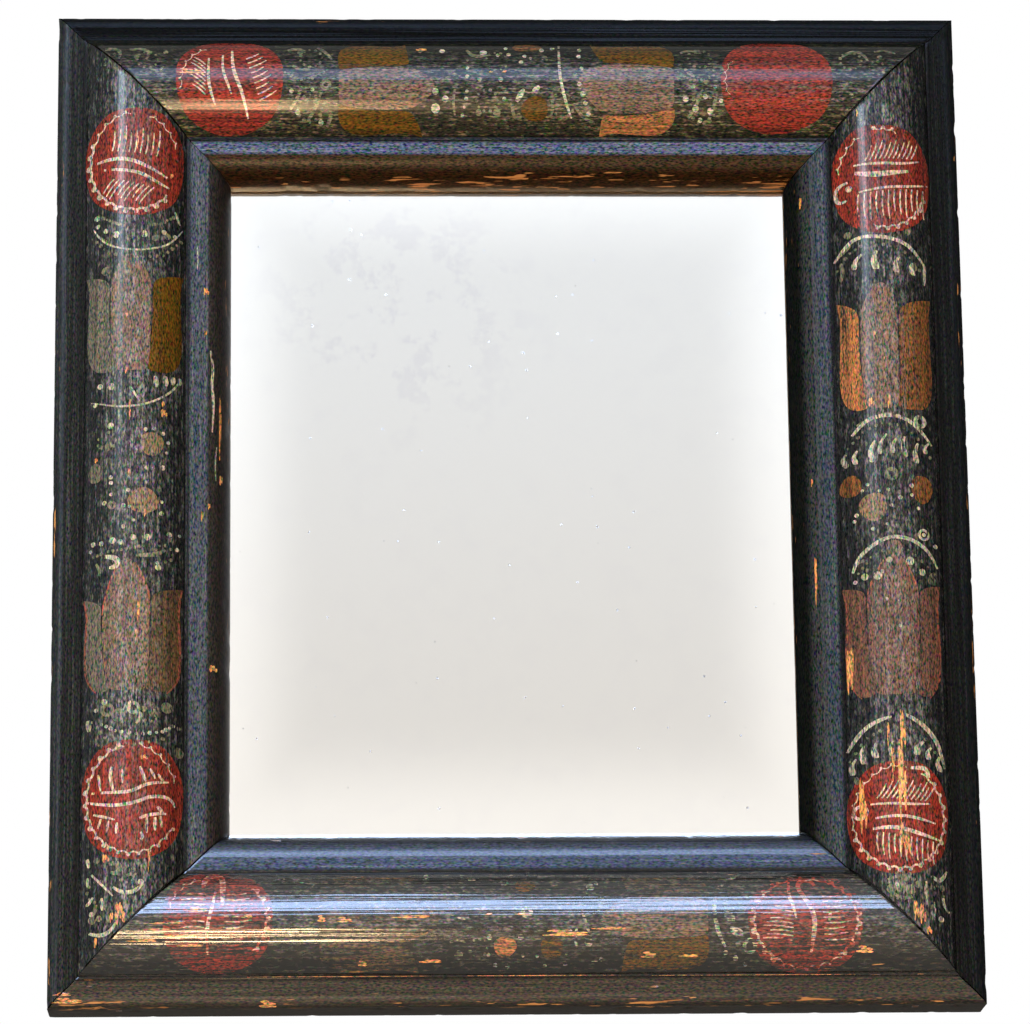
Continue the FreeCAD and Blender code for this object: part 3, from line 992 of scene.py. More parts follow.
def paintTulip(tulip):
    side, middle, half, grow = tulip["side"], tulip["middle"], tulip["half"], tulip["grow"]
    top, crest = tulip["top"], tulip.get("crest", 1.0)

    def at(point):
        along, across = point[0] * half[0], point[1] * half[1]
        return (middle[0] + grow[0] * along + grow[1] * across,
                middle[1] + grow[1] * along - grow[0] * across)

    def fill(paint, points, heart):
        rings = round(max(half) * 0.8 / brush["ringStep"])
        paintOn(side, paint, fills=[([at(point) for point in points], at(heart), rings)])

    flanks, petals = [], []
    for hand, notch, tip in zip((-1, 1), tulip["notches"], tulip["tips"]):
        dome = [(crest - (crest - notch[0]) * share ** 2, top + (notch[1] - top) * share)
                for share in (0.4, 0.7, 0.9)]
        flanks.append(dome + [notch, (0.15, notch[1] * 1.04), (-0.4, notch[1] * 1.02),
                              (-0.85, notch[1] * 0.9), (-0.97, notch[1] * 0.75)])
        gap = hand * 0.035
        petals.append([
            (notch[0] - 0.02, notch[1] + gap),
            (notch[0] + (tip - notch[0]) * 0.55, notch[1] + (hand - notch[1]) * 0.45),
            (tip, hand * 0.97), (tip, hand * 0.99), (tip - 0.22, hand * 0.92), (0.0, hand * 0.93),
            (-0.5, hand * 0.97), (-0.85, hand * 0.9), (-0.99, hand * 0.7), (-0.97, notch[1] * 0.8),
            (-0.85, notch[1] * 0.9), (-0.4, notch[1] * 1.02 + gap * 0.6), (0.15, notch[1] * 1.04 + gap)])
    for petal, notch, hand, paint in zip(petals, tulip["notches"], (-1, 1), tulip["petals"][::2]):
        fill(paint, petal, (-0.2, (notch[1] + hand) / 2))
    fill(tulip["petals"][1], [(crest, top)] + flanks[1] + [(-0.96, 0.0)] + flanks[0][::-1], (0.0, top * 0.6))
    if "neck" in tulip:
        wide = tulip["neck"]
        fill(tulip["petals"][1],
             [(1.0, top - wide), (1.0, top + wide), (crest, top + wide), (crest - 0.08, top),
              (crest, top - wide)],
             (crest + 0.04, top))
    if "rim" in tulip:
        strokes = []
        for flank, petal in zip(flanks, petals):
            strokes.append(pull(0.4, [at(point) for point in petal[3:9]]))
            strokes.append(pull(0.35, [at(point) for point in flank[:5]]))
        paintOn(side, tulip["rim"], strokes)


# swags, sprays, dots and scrolls
sprays = {
    ("left_stile", "pale"): {
        "pulls": (
            (0.36, ((-168.5, 111), (-165, 104.5), (-158, 101), (-150, 100), (-142, 101.5), (-136, 105),
                   (-132.5, 111))),
            (0.45, ((-135.5, 118), (-133.5, 113))),
            (0.5, ((-121.2, 62), (-119.8, 55), (-120.8, 48), (-119.6, 40), (-120.3, 28))),
            (0.3, ((-126.8, 106), (-126.2, 101), (-126.6, 96))),
            (0.3, ((-118.6, 22), (-119.4, 15), (-118.8, 8))),
            (0.4, ((-132.9, 48), (-135.2, 43.5), (-139.7, 39.5), (-144.3, 36.7), (-150.3, 35), (-159.4, 34.6),
                    (-168.5, 38))),
            (0.45, ((-152.8, 43), (-149, 37))),
            (1.0, ((-142.8, 47.8), (-142.3, 43.2))), (1.1, ((-139, 48.2), (-138.6, 44.2))),
            (0.9, ((-135.8, 48.4), (-136, 45.2))), (0.7, ((-133.3, 48.6), (-133.2, 45.8))),
            (1.1, ((-162.5, -26.5), (-158.6, -27), (-156.9, -29), (-158.4, -31.4), (-160.6, -31.2))),
            (1.1, ((-168.6, -92), (-168.2, -96.5))),
            (0.8, ((-150.2, -90.8), (-147.8, -90), (-147.6, -92.4), (-149.4, -94.6))),
            (0.6, ((-166.6, -154), (-162, -158.8), (-158, -163))),
            (0.8, ((-158, -159.6), (-155, -161.9), (-150.5, -161.8), (-148, -160.2), (-146.6, -158.6))),
            (0.8, ((-167.3, -177), (-163.3, -179), (-158, -176.6), (-156.8, -173.5))),
            (0.8, ((-168.8, -165.8), (-167.4, -165.6), (-165.9, -162.9))),
            (0.6, ((-162.4, -163.6), (-162.2, -168.5))), (0.8, ((-168.4, -147.5), (-167.6, -151))),
            (0.6, ((-168.2, -155), (-168.2, -158.5))),
        ),
        "dabs": (
            (-166.5, 111.5, 0.9), (-163.2, 109, 1.0), (-159, 107, 1.4), (-147.7, 107, 1.4),
            (-139.8, 108.5, 1.0), (-166.9, 115, 1.1), (-135.4, 107.5, 0.8), (-160.6, 43.5, 1.5),
            (-165, 44, 1.1), (-167, 36.5, 0.8), (-160.5, 27.1, 1.3), (-160.3, 5.8, 0.8), (-160.2, 3.5, 0.8),
            (-160.2, -1.2, 0.7), (-162.8, -4.5, 0.9), (-146.1, 9.6, 0.8), (-143.5, 9.3, 0.7),
            (-139.7, 10.1, 1.0), (-146.5, 25.4, 0.8), (-143.1, 25.9, 0.8), (-139.7, 24.2, 0.8),
            (-137.6, 20.8, 0.7), (-138.2, 16.5, 0.6), (-150.2, 17, 0.5), (-155.2, -6, 0.9),
            (-152.8, -6.6, 0.7), (-153.3, 0.2, 0.8), (-140.1, -4, 0.7), (-140.1, -8.8, 0.9),
            (-155.2, -14.7, 0.9), (-151, -12.2, 0.6), (-146, 3.6, 0.6), (-167.3, -20.8, 1.0),
            (-163.9, -21, 1.0), (-159.4, -20.2, 1.3), (-156.3, -21, 1.1), (-151.3, -19.2, 1.2),
            (-145.6, -19, 1.3), (-168.3, -23.6, 0.7), (-141.2, -31, 1.2), (-141.6, -29.2, 0.7),
            (-137, -17, 1.0), (-134, -22.5, 0.8), (-133, -16.6, 0.6), (-162.1, -85.5, 1.2),
            (-151.8, -86.4, 0.9), (-165.4, -88.5, 0.8), (-147.2, -157.6, 1.1), (-166.4, -169.6, 1.0),
        ),
        "loops": ((-150.5, -88.3, 1.9, 0.7),),
        "rows": (
            (14, 0.7, ((-163.1, -94.4), (-157.1, -97.6), (-148, -98.9), (-139.5, -97.5), (-135.1, -94.5))),
        ),
    },
    ("left_stile", "olive"): {
        "pulls": (
            (0.9, ((-150, -26.5), (-145, -26.4), (-140.5, -25.2), (-138.5, -23.5))),
            (0.8, ((-160, 102), (-164, 105), (-167, 108))), (0.8, ((-166, -29), (-164, -32), (-165, -34))),
            (0.7, ((-164.5, -98), (-166, -101), (-164, -103))), (0.8, ((-158, -104.6), (-154, -103.6))),
            (1.0, ((-159.6, -150.5), (-156.4, -149.6), (-155, -152.4), (-157, -154.6), (-159, -153.6))),
            (0.8, ((-152.6, -155.4), (-150.6, -153.6), (-149.6, -156))),
            (0.8, ((-164.6, -166), (-165.4, -170))),
            (0.8, ((-160.4, -170), (-159.2, -173.5))), (0.8, ((-165.8, 20), (-163.6, 18))),
        ),
        "dabs": (
            (-161.3, 19.2, 1.5), (-133.2, -104.8, 2.1), (-137.6, -87.5, 2.2), (-142.6, -90.1, 1.7),
            (-166.2, -172, 1.6), (-163.4, -171.6, 1.2), (-160.6, 84, 0.9), (-163, 92, 1.8),
            (-159.4, -144.2, 1.3), (-146.4, -88.6, 1.2), (-164.5, -148.6, 1.2), (-136, -19, 1.0),
            (-138.5, 107, 1.3), (-143.5, 105.5, 1.2), (-161.8, -167.4, 1.1), (-154, 105.4, 1.1),
        ),
        "loops": ((-160.9, -88.8, 1.9, 0.8), (-156.5, -91.1, 1.8, 0.8), (-159.8, -5.6, 1.2, 0.5)),
        "beads": ((-144, -90, 3.6, 9, 0.6), (-164, -161, 4.2, 10, 0.6), (-152.5, -154.6, 3.2, 8, 0.6),
                  (-139, -25, 3.4, 9, 0.6), (-162, 21, 3.6, 9, 0.55)),
        "rows": ((17, 0.65, ((-168.6, 107), (-162, 99.4), (-150.5, 96.8), (-140, 98.6), (-133, 106))),
                 (11, 0.6, ((-166, 116), (-160.6, 112.4), (-156, 110.6))),
                 (9, 0.6, ((-146, 110.6), (-141, 112), (-136, 115.6))),
                 (13, 0.6, ((-167, -26), (-161, -24.6), (-154, -24), (-147, -22.6))),
                 (15, 0.65, ((-167, -93), (-161, -101), (-150, -103), (-140, -101), (-133, -95)))),
    },
    ("right_stile", "pale"): {
        "pulls": (
            (0.75, ((131.6, 97.8), (135.6, 103.1), (140.5, 106.5), (150.5, 106), (158.8, 104), (163.8, 100.5),
                    (167.9, 95.2))),
            (0.9, ((167.6, 96), (168.3, 92), (167.4, 87))),
            (0.75, ((136.2, 23.5), (139, 26.8), (143.9, 30.2), (151.9, 31), (158.3, 29.3), (164, 25.1),
                    (168.4, 19.7))),
            (0.75, ((135, -33), (136.6, -27.7), (141.5, -23.5), (147.1, -20.2), (152.7, -19.3), (159.9, -21),
                    (166.4, -25.2), (169.2, -31))),
            (0.8, ((131.3, -105.2), (133, -101.9), (138.2, -96.3), (144, -93.7), (148, -92.8))),
            (0.9, ((153.4, -92), (158.3, -94.3), (163.5, -98.6), (167.4, -103.9), (169.3, -112.5))),
            (1.1, ((162.2, -166.6), (162.2, -173.8))), (0.8, ((159.6, -158.7), (159.9, -168))),
            (0.7, ((166.8, -164.6), (166.5, -168), (169.2, -170.2))),
            (0.8, ((162, -156.3), (164.6, -158.6), (167.4, -156.4), (168.6, -153.8))),
        ),
        "commas": (
            (138.9, 93.4, 1.1, 141.4, 99), (147.6, 93, 1.5, 147.2, 100), (155.9, 91.6, 1.3, 156.4, 97.5),
            (163, 90.8, 1.0, 162, 95.5), (143.5, 13.2, 1.2, 144.4, 20.4), (146.7, 15.1, 0.9, 148.9, 23),
            (151.9, 15.5, 1.0, 153.7, 22), (157.1, 14.2, 1.1, 156.3, 22), (161.6, 11.9, 1.2, 161.8, 19.6),
            (165.6, 16.3, 0.9, 166.6, 20.4), (133.6, 12.2, 1.1, 133.2, 16.4), (137.4, 12, 1.0, 137.4, 17),
            (141.7, -108.5, 1.3, 141.2, -103.2), (147.6, -108.5, 0.8, 147.8, -102.6),
            (157.7, -107.5, 1.4, 160, -102.6), (137.2, -110.5, 1.1, 136.6, -103.6),
            (162.5, -109.2, 1.1, 163.2, -104.8), (167.4, -113.5, 1.1, 166.6, -108),
            (133, -114.2, 1.1, 133.6, -108.5),
        ),
        "dabs": (
            (143.5, 12.6, 1.1), (133.7, 11.8, 1.0), (141.5, 2.5, 0.7), (145.9, -0.5, 0.6), (149.5, -0.2, 0.8),
            (154.3, -3.4, 0.9), (159.1, 1.8, 0.9), (159.1, -2.1, 0.7), (161.6, -7.4, 0.7), (139.4, 0.2, 0.6),
            (137, -9.6, 0.8), (136.2, -12, 0.7), (148.7, -14.3, 0.6), (143.1, -16, 0.8), (150.6, -6.6, 0.7),
            (135.8, -37, 0.8), (139.4, -35.3, 1.4), (144.3, -35.3, 1.7), (146.2, -33.6, 0.8),
            (149.1, -29, 1.2), (157.5, -29.4, 1.7), (162.4, -33.6, 1.4), (163.6, -18.1, 0.8),
            (165.5, -173.2, 1.2), (168.6, -22, 0.9), (147.5, -45, 0.7), (152.6, -45.6, 0.6),
            (152.6, -56, 0.7), (148, -160, 0.8),
        ),
        "loops": ((163.6, 28.9, 1.9, 0.8), (163.6, -18.1, 1.9, 0.5)),
    },
    ("right_stile", "olive"): {
        "pulls": (
            (1.0, ((134, 96), (135.2, 92.4), (133.6, 89))), (0.7, ((133.6, 99.8), (138, 103.6))),
            (0.8, ((138, 27.2), (144.4, 31), (152, 31.8))), (0.9, ((136, -30), (138, -28), (140.6, -29))),
            (0.9, ((134.6, -118.8), (133.8, -115.6))), (0.8, ((144.6, -158), (149.4, -155.6), (154, -157.4))),
            (0.8, ((146, -163), (150, -166.5), (154, -165))), (0.8, ((160.8, -160), (163.4, -161.4))),
        ),
        "commas": ((166.8, -37.4, 1.6, 167.2, -33),),
        "dabs": (
            (136.9, 107.9, 1.5), (160.9, 108.4, 1.3), (163, 93.6, 1.6), (166.8, -36.5, 1.5),
            (149.2, -160.4, 2.4), (145.8, -161.6, 1.8), (153, -162, 2.0), (151.4, -157.2, 1.7),
            (156.6, -160, 1.5), (140.6, -33, 1.0), (156.4, -170.6, 1.4), (166.4, -160.8, 1.2),
        ),
        "loops": ((151.1, 6.4, 1.9, 0.8),),
        "beads": ((150, -160.5, 5.4, 13, 0.65), (162.6, -164, 4.4, 11, 0.6), (140.4, 158.6, 3.4, 9, 0.55)),
        "rows": ((15, 0.6, ((132.6, 94), (137, 100), (143, 103), (152, 102.4), (160, 99.4), (165.6, 93))),
                 (15, 0.6, ((134.6, 18.6), (140, 24), (147, 27.4), (155, 26.6), (163, 21), (167.6, 14.6))),
                 (13, 0.6, ((137, -33.6), (142, -27.6), (149, -24), (157, -25), (165, -31))),
                 (15, 0.6, ((132, -109), (138, -101), (145, -97.6), (155, -97.4), (162, -102), (167, -109)))),
    },
    ("top_rail", "pale"): {
        "pulls": (
            (0.6, ((20.7, 190), (20.4, 180), (21, 172), (22.5, 166), (24, 161), (25.5, 158))),
            (1.1, ((3, 164), (6, 169))), (1.0, ((12.4, 170), (9.6, 168))),
        ),
        "dabs": (
            (-10.2, 186, 1.5), (-4.4, 184.6, 0.8), (0, 185, 0.9), (6.5, 184.2, 0.8), (9, 183, 0.6),
            (-1, 188.5, 0.8), (13.6, 187.5, 1.0), (18, 188.5, 0.9), (5, 181, 0.9), (28.6, 184, 0.9),
            (29.6, 178, 0.8), (28.6, 171, 0.9), (30, 167, 1.1), (31, 163.5, 0.9), (32.3, 159.5, 0.9),
            (29, 187.5, 0.9), (-27, 187, 1.1), (-30, 168, 1.3), (-30, 161.5, 1.8), (-26, 165, 1.3),
            (-76.5, 156.5, 1.0), (-80, 168.5, 0.8), (-88.5, 168, 0.9), (-86, 160, 1.0), (72, 165, 1.2),
            (76, 161.5, 1.3), (80, 166, 1.0), (82, 160.5, 1.2), (75, 170, 0.9), (84, 170, 0.8),
            (-12, 173, 0.9), (-3.4, 173, 1.0), (-2, 165, 0.8), (78, 157.4, 0.9), (86.4, 164.4, 0.8),
        ),
        "rows": ((8, 0.7, ((-16.8, 182), (-17, 173), (-17.3, 166), (-19, 159))),),
    },
    ("top_rail", "olive"): {
        "pulls": (
            (0.9, ((-17, 187.5), (-15.3, 184.6), (-12, 183.8), (-8.5, 184.8))),
            (0.9, ((-90, 187), (-86, 189), (-83, 187))), (0.9, ((-78, 189), (-74, 186), (-72, 182))),
            (0.9, ((-89, 161), (-85.6, 165), (-84.4, 170))), (0.9, ((-82, 157), (-78.4, 161), (-76.6, 167))),
            (0.8, ((-74, 155), (-72, 160))), (0.8, ((-88, 179), (-84, 176), (-81, 178))),
            (0.8, ((70.4, 186), (74, 188.4), (79, 186))), (0.8, ((71.6, 178), (75.6, 174))),
            (0.9, ((73, 158), (77, 163), (79, 169))), (0.9, ((81, 156.6), (84, 162), (84.6, 168))),
            (0.9, ((1.4, 163), (1, 160), (3, 157.6))), (0.8, ((17, 166), (18.6, 162), (17, 158.6))),
            (0.8, ((27, 162), (30, 157.4), (35, 156.6))), (0.7, ((-22, 169), (-23.4, 164), (-22, 159))),
            (0.8, ((-166, 187), (-161, 188.6), (-157.4, 186), (-158.6, 182.6))),
            (0.8, ((-154.4, 187.6), (-149, 188.4), (-145.6, 185.4), (-147.6, 182.4))),
            (0.7, ((-146, 178), (-142.6, 175), (-140.4, 178.6))),
            (0.8, ((136.6, 184), (140, 187.4), (145.4, 186.4), (147, 182))),
            (0.7, ((139, 172), (142.4, 169.4), (145.6, 171))),
            (0.7, ((150, 187), (154.6, 188.4), (158.6, 186))),
        ),
        "dabs": (
            (14.8, 182.8, 1.3), (-36, 187, 1.0), (-78.6, 164, 1.2), (-85, 186, 1.2), (77, 187, 1.3),
            (80.5, 172, 1.1), (-139.6, 186, 1.0), (-151.4, 183.6, 1.1), (152, 184, 1.1), (139.6, 166.4, 1.0),
            (-25, 173, 1.2), (4, 158.6, 1.2), (27, 175, 1.0), (-5, 160, 1.5), (-12.4, 160, 1.2),
        ),
        "loops": ((-74.6, 170.6, 1.6, 0.7), (85.4, 177.6, 1.6, 0.7)),
        "beads": ((-80.5, 183, 4.4, 11, 0.6), (-81, 161.5, 4.8, 12, 0.65), (-161, 181.5, 3.4, 9, 0.55),
                  (-147, 182, 4.2, 10, 0.55), (140, 182, 4.4, 11, 0.6), (150.5, 178.5, 3.2, 9, 0.55),
                  (78, 183, 4.6, 12, 0.6), (79, 161.5, 5.2, 13, 0.65), (-5, 181.6, 4.4, 11, 0.55),
                  (-9, 164.5, 4.2, 10, 0.6), (22, 163, 4.6, 11, 0.6)),
        "rows": ((13, 0.6, ((-91, 176), (-86, 172.6), (-80, 173.4), (-74, 177))),
                 (13, 0.6, ((69, 176.4), (74, 172.8), (80, 173), (87, 177)))),
    },
    ("bottom_rail", "pale"): {
        "pulls": (
            (0.7, ((-95, -156.4), (-92, -154), (-88, -154.6), (-85, -157.4), (-82.6, -156.4))),
            (0.8, ((87, -154.6), (81, -157.2), (77.5, -161.5), (76, -168), (76.5, -174),
                   (78, -180), (80.5, -184))),
            (0.5, ((-19.6, -156.3), (-15.4, -155.8))),
            (0.7, ((22.4, -176.6), (21.2, -181.4), (22.8, -184.6))),
            (0.8, ((24.6, -170), (25.8, -175), (27.6, -179.4))),
            (0.7, ((-27, -171.5), (-23, -173.4), (-19.4, -172.4))),
        ),
        "commas": ((83, -173.4, 1.7, 80.4, -169.4), (86.2, -179, 1.7, 82.2, -176.4)),
        "dabs": (
            (-2.7, -154.5, 0.8), (0.5, -154, 0.8), (4, -153.6, 0.9), (6.8, -154.5, 0.7), (9.5, -156, 0.6),
            (-22, -154.5, 0.8), (-36, -154.7, 1.0), (84.5, -188, 1.0), (88.5, -190, 0.8), (80.5, -186, 0.9),
            (-9.3, -190, 0.9), (-4.5, -190.4, 0.8), (10, -190.4, 0.8), (18, -190, 0.8), (21, -190.4, 0.7),
            (28, -160, 1.6), (30.4, -158.4, 0.8), (27, -182, 1.6), (29.4, -189, 1.2), (-11.6, -180, 1.0),
            (0.6, -180, 1.1), (-8.6, -176.6, 0.7), (-3, -176.4, 0.7), (1.4, -186.6, 0.7), (-12, -186.4, 0.7),
            (7, -186.8, 0.7), (18.6, -186, 0.7), (20, -178, 0.7), (-80.5, -158.5, 0.8), (32, -188, 0.8),
        ),
        "loops": ((-5.5, -157.8, 1.2, 0.4), (83.4, -161.6, 1.4, 0.6), (90, -183.6, 2.1, 0.7),
                  (3, -170.4, 1.6, 0.7), (-92.4, -155.8, 0.9, 0.4)),
    },
    ("bottom_rail", "olive"): {
        "pulls": (
            (0.9, ((88, -157), (85.4, -160.4), (86.4, -163.4))),
            (0.8, ((24, -155.6), (27.4, -154), (31, -155.4))),
            (0.8, ((-88, -162), (-84, -164.5), (-81, -163))),
            (0.8, ((-27, -182), (-24, -179.6), (-21, -182))),
            (0.9, ((33, -164), (30, -168), (31.4, -172))),
            (0.8, ((-86.4, -174), (-84, -179), (-85.6, -183.6))),
        ),
        "dabs": ((31, -176.4, 1.4), (30.4, -183, 1.6), (87.6, -168.4, 1.6), (85.2, -183.4, 1.2),
                 (-23.6, -186.4, 1.6), (-82.4, -168.6, 1.4), (14, -158, 1.6)),
        "loops": ((-23.4, -176.4, 2.0, 0.8),),
        "beads": ((-85, -176.6, 4.6, 12, 0.65), (-85.6, -160, 3.6, 9, 0.6), (28, -167, 4.2, 10, 0.6),
                  (-24.6, -164, 4.2, 10, 0.6), (84.6, -167, 4.4, 11, 0.65), (-16, -184, 3.4, 9, 0.6)),
    },
}


def paintSpray(side, paint, spray):
    strokes = [pull(half, points) for half, points in spray["pulls"]]
    for key, shape in (("commas", comma), ("dabs", dab), ("loops", loop)):
        strokes += [shape(*place) for place in spray.get(key, ())]
    for x, z, reach, count, radius in spray.get("beads", ()):
        strokes += beadSizes(arcRun((x, z), reach, 0, 360, count)[:-1], radius)
    for count, radius, points in spray.get("rows", ()):
        row = []
        for step in range(count):
            place = step / (count - 1) * (len(points) - 1)
            start = min(int(place), len(points) - 2)
            row.append(between(points[start], points[start + 1], place - start))
        strokes += beadSizes(row, radius)
    paintOn(side, paint, strokes)


# round and long blots of colour: x, z, half width, half height
blots = {
    ("left_stile", "sand"): ((-144, 19.6, 4.8, 5), (-147.4, -4, 6.4, 5.4)),
    ("left_stile", "sage"): ((-166.6, 8.2, 3, 4.2),),
    ("right_stile", "sienna"): ((135.2, 2.6, 4.2, 4.6), (163.5, 0.7, 4.6, 6)),
    ("right_stile", "sand"): ((143.6, -6.8, 5.6, 6),),
    ("top_rail", "ochre"): ((10.5, 161.4, 5.6, 4.8),),
    ("top_rail", "sienna"): ((7.5, 189, 6.2, 2.2),),
    ("bottom_rail", "russet"): ((-5.6, -183.5, 4.6, 3.8),),
    ("bottom_rail", "rose"): ((-40, -170.5, 9, 5), (-58, -173, 6, 2.4)),
    ("bottom_rail", "ochre"): ((12.7, -184, 4.6, 4.4), (2.5, -159, 4, 3)),
}


def paintBlot(side, paint, place):
    x, z, halfX, halfZ = place
    outline = []
    for step in range(12):
        turn = math.tau * step / 12
        wobble = 1 + 0.06 * math.sin(3 * turn + x)
        outline.append((x + math.cos(turn) * halfX * wobble, z + math.sin(turn) * halfZ * wobble))
    paintOn(side, paint, fills=[(outline, (x, z), 3)])


# splinters of bare wood along the grain: x, z, half length, half width
splinters = {
    "left_stile": (
        (-154.5, 49.8, 1.5, 0.5), (-152.9, 35.8, 2, 0.5), (-139.6, 36.5, 1.2, 0.6), (-152.9, 31.5, 2.5, 0.4),
        (-139.3, 32.8, 1.6, 0.9), (-166.4, 13.6, 1.0, 0.6), (-152.9, 7.4, 1.6, 0.6), (-146.5, -9, 1.6, 0.6),
        (-154.5, 72.8, 1.0, 0.6), (-148.9, -49, 4, 0.5), (-149.7, -59, 2.5, 0.6), (-150.5, 146, 3, 0.4),
        (-155.7, 149, 1.5, 0.4), (-136.8, 133, 1, 0.6), (-146.2, -108, 1, 1), (-144, -149, 4.5, 0.5),
        (-160.9, -148, 1.6, 1), (-155, -170, 4.5, 1.6), (-158.5, -171.5, 2, 0.7), (-164.7, -181, 2, 0.5),
        (-122.9, 86.8, 1.6, 0.8), (-123.2, 69, 1.2, 0.7), (-117.2, 30, 13, 0.4), (-116.8, 8.6, 2, 0.6),
        (-124.2, -7.4, 2.2, 0.5), (-121.5, -3, 1.2, 0.5), (-119.5, -69.4, 1.4, 1.2),
    ),
    "right_stile": (
        (141.9, 159.5, 1.5, 0.4), (146, 65, 1.2, 0.5), (150, 54.5, 0.8, 0.5), (151, 36.5, 3, 0.6),
        (144, 36.5, 2, 0.8), (151.5, -118, 16, 1.2), (152.3, -99, 9, 0.8), (151, -141, 6, 0.8),
        (148, -112, 7, 0.6), (146.5, -100, 5, 0.5), (136.2, -128, 11, 1.0), (132.9, -73, 9, 0.8),
        (133.8, -70, 7, 0.5), (153, -144, 5, 0.8), (155.4, -170.4, 4, 0.8), (158, -171.6, 4, 0.9),
        (160.4, -178, 1.6, 0.8), (121, -35, 11, 0.5), (119, 125, 2.4, 0.5), (120.5, 6.5, 1.6, 0.4),
    ),
    "top_rail": (
        (-129.5, 176.5, 5.5, 0.8), (-35.5, 188, 2.2, 0.6), (-7.3, 176.5, 0.8, 0.5), (-1.9, 176.5, 1, 0.5),
    ),
    "bottom_rail": (
        (-125, -168.6, 3.8, 0.8), (-106, -171.5, 2.2, 0.7), (-68, -173, 3, 0.8), (-42, -172, 8, 0.6),
        (-34.7, -188.5, 4.4, 0.6), (-61, -189, 1.8, 0.8), (18, -178.5, 9, 0.9), (50.5, -186.5, 3, 0.8),
        (66, -187, 4, 0.5), (35, -176.8, 7, 0.5), (-77, -172.6, 1.6, 1.0), (1, -171, 3, 0.5),
        (-12, -171, 1.6, 0.4), (-138, -174, 8, 0.5), (-142, -176.5, 7, 0.4), (-134, -179, 9, 0.4),
        (-147, -180.6, 6, 0.5), (-128, -182.5, 5, 0.4), (-176, -202, 6, 0.8), (-178, -199.6, 3.6, 0.7),
        (-98, -203.6, 3.4, 0.9), (135, -185, 3.4, 1.0), (-96, -177, 5, 0.3), (10, -193.4, 30, 0.22),
        (92, -193.6, 40, 0.2), (-70, -193.4, 36, 0.2),
    ),
}


def paintSplinter(side, place):
    x, z, length, half = place
    upright = railPlaces[side]["upright"]
    count = 3 if half > 0.7 else 2 if half > 0.3 else 1
    for index in range(count):  # torn in slivers, which lie side by side
        shift = (index - (count - 1) / 2) * half * 0.85
        reach = length * (1, 0.7, 0.5)[index]
        slide = length * (0, 0.25, -0.3)[index]
        points = []
        for share in (1, 0.6, -0.2, -0.7, -1):
            along, across = slide - reach * share, shift + half * 0.15 * math.sin(5 * share + x)
            points.append((x + across, z + along) if upright else (x + along, z + across))
        stroke = pull(half * 0.45, points, 0.2)
        stroke["halves"][0] *= 0.4
        paintOn(side, "pine", [stroke])


for roundel in roundels:
    paintRoundel(roundel)
for tulip in tulips:
    paintTulip(tulip)
for side in railNames:
    for paint in ("pale", "olive"):
        paintSpray(side, paint, sprays[side, paint])
    for place in splinters[side]:
        paintSplinter(side, place)
for (side, paint), places in blots.items():
    for place in places:
        paintBlot(side, paint, place)


def newSplines(strokes):
    deselectAll()
    bpy.ops.curve.primitive_bezier_circle_add()
    piece = bpy.context.object
    curve = piece.data
    curve.splines.clear()
    for item in strokes:
        spline = curve.splines.new("NURBS")
        spline.points.add(len(item["points"]) - 1)
        for point, (x, z), half in zip(spline.points, item["points"], item["halves"]):
            point.co = (frameMid.x + x * mm, frameMid.z + z * mm, 0, 1)
            point.radius = half
        spline.use_cyclic_u = item["closed"]
        spline.use_endpoint_u = not item["closed"]
        spline.order_u = 3
        spline.resolution_u = brush["smooth"]
    curve.dimensions = "2D"
    curve.fill_mode = "NONE"
    return piece


def makeBrushEdge():
    piece = newSplines([newStroke([(-1, 0), (1, 0)], [1, 1])])
    piece.name = "brush edge"
    for point in piece.data.splines[0].points:
        point.co = (point.co[0] - frameMid.x, 0, 0, 1)
    return piece


def drawStrokes(strokes):
    piece = newSplines(strokes)
    piece.data.bevel_mode = "OBJECT"
    piece.data.bevel_object = brushEdge
    bpy.ops.object.convert(target="MESH")
    return bpy.context.object


def drawFill(outline, middle, rings):
    newSplines([newStroke(outline, [1] * len(outline), True)])
    bpy.ops.object.convert(target="MESH")
    centre = (frameMid.x + middle[0] * mm, frameMid.z + middle[1] * mm, 0)
    editMesh("VERT")
    for ring in range(rings, 1, -1):
        share = (ring - 1) / ring
        bpy.ops.mesh.extrude_region_move()
        bpy.ops.transform.resize(value=(share, share, share), center_override=centre)
    bpy.ops.mesh.extrude_region_move()
    bpy.ops.mesh.merge(type="CENTER")
    leaveMesh()
    return bpy.context.object


def pressOn(piece, lift):
    piece.rotation_euler = (math.pi / 2, 0, 0)
    piece.location.y = frameLow.y - brush["ahead"]
    settle(piece)
    wrap = piece.modifiers.new("press", "SHRINKWRAP")
    wrap.target = paintTarget
    wrap.wrap_method = "PROJECT"
    wrap.use_project_y = True
    wrap.use_positive_direction = True
    wrap.use_negative_direction = False
    wrap.offset = lift
    applyModifier(piece, wrap)
    # over an open mitre the paint is broken
    chooseParts(piece, "VERT", "vertices", lambda vertex: vertex.co.y < frameLow.y - 1 * mm)
    bpy.ops.mesh.delete(type="VERT")
    chooseParts(piece, "FACE", "polygons", lambda face: face.normal.y > 0)
    bpy.ops.mesh.flip_normals()
    leaveMesh()
    coat = piece.modifiers.new("coat", "SOLIDIFY")
    coat.thickness = brush["coat"]
    coat.offset = -1
    applyModifier(piece, coat)
    bpy.ops.object.shade_smooth_by_angle(angle=math.radians(brush["smoothAngle"]))


def copyRails():
    copies = []
    for name in railNames:
        takeUp(rails[name])
        bpy.ops.object.duplicate()
        copies.append(bpy.context.object)
    return joinPieces("paint target", copies)


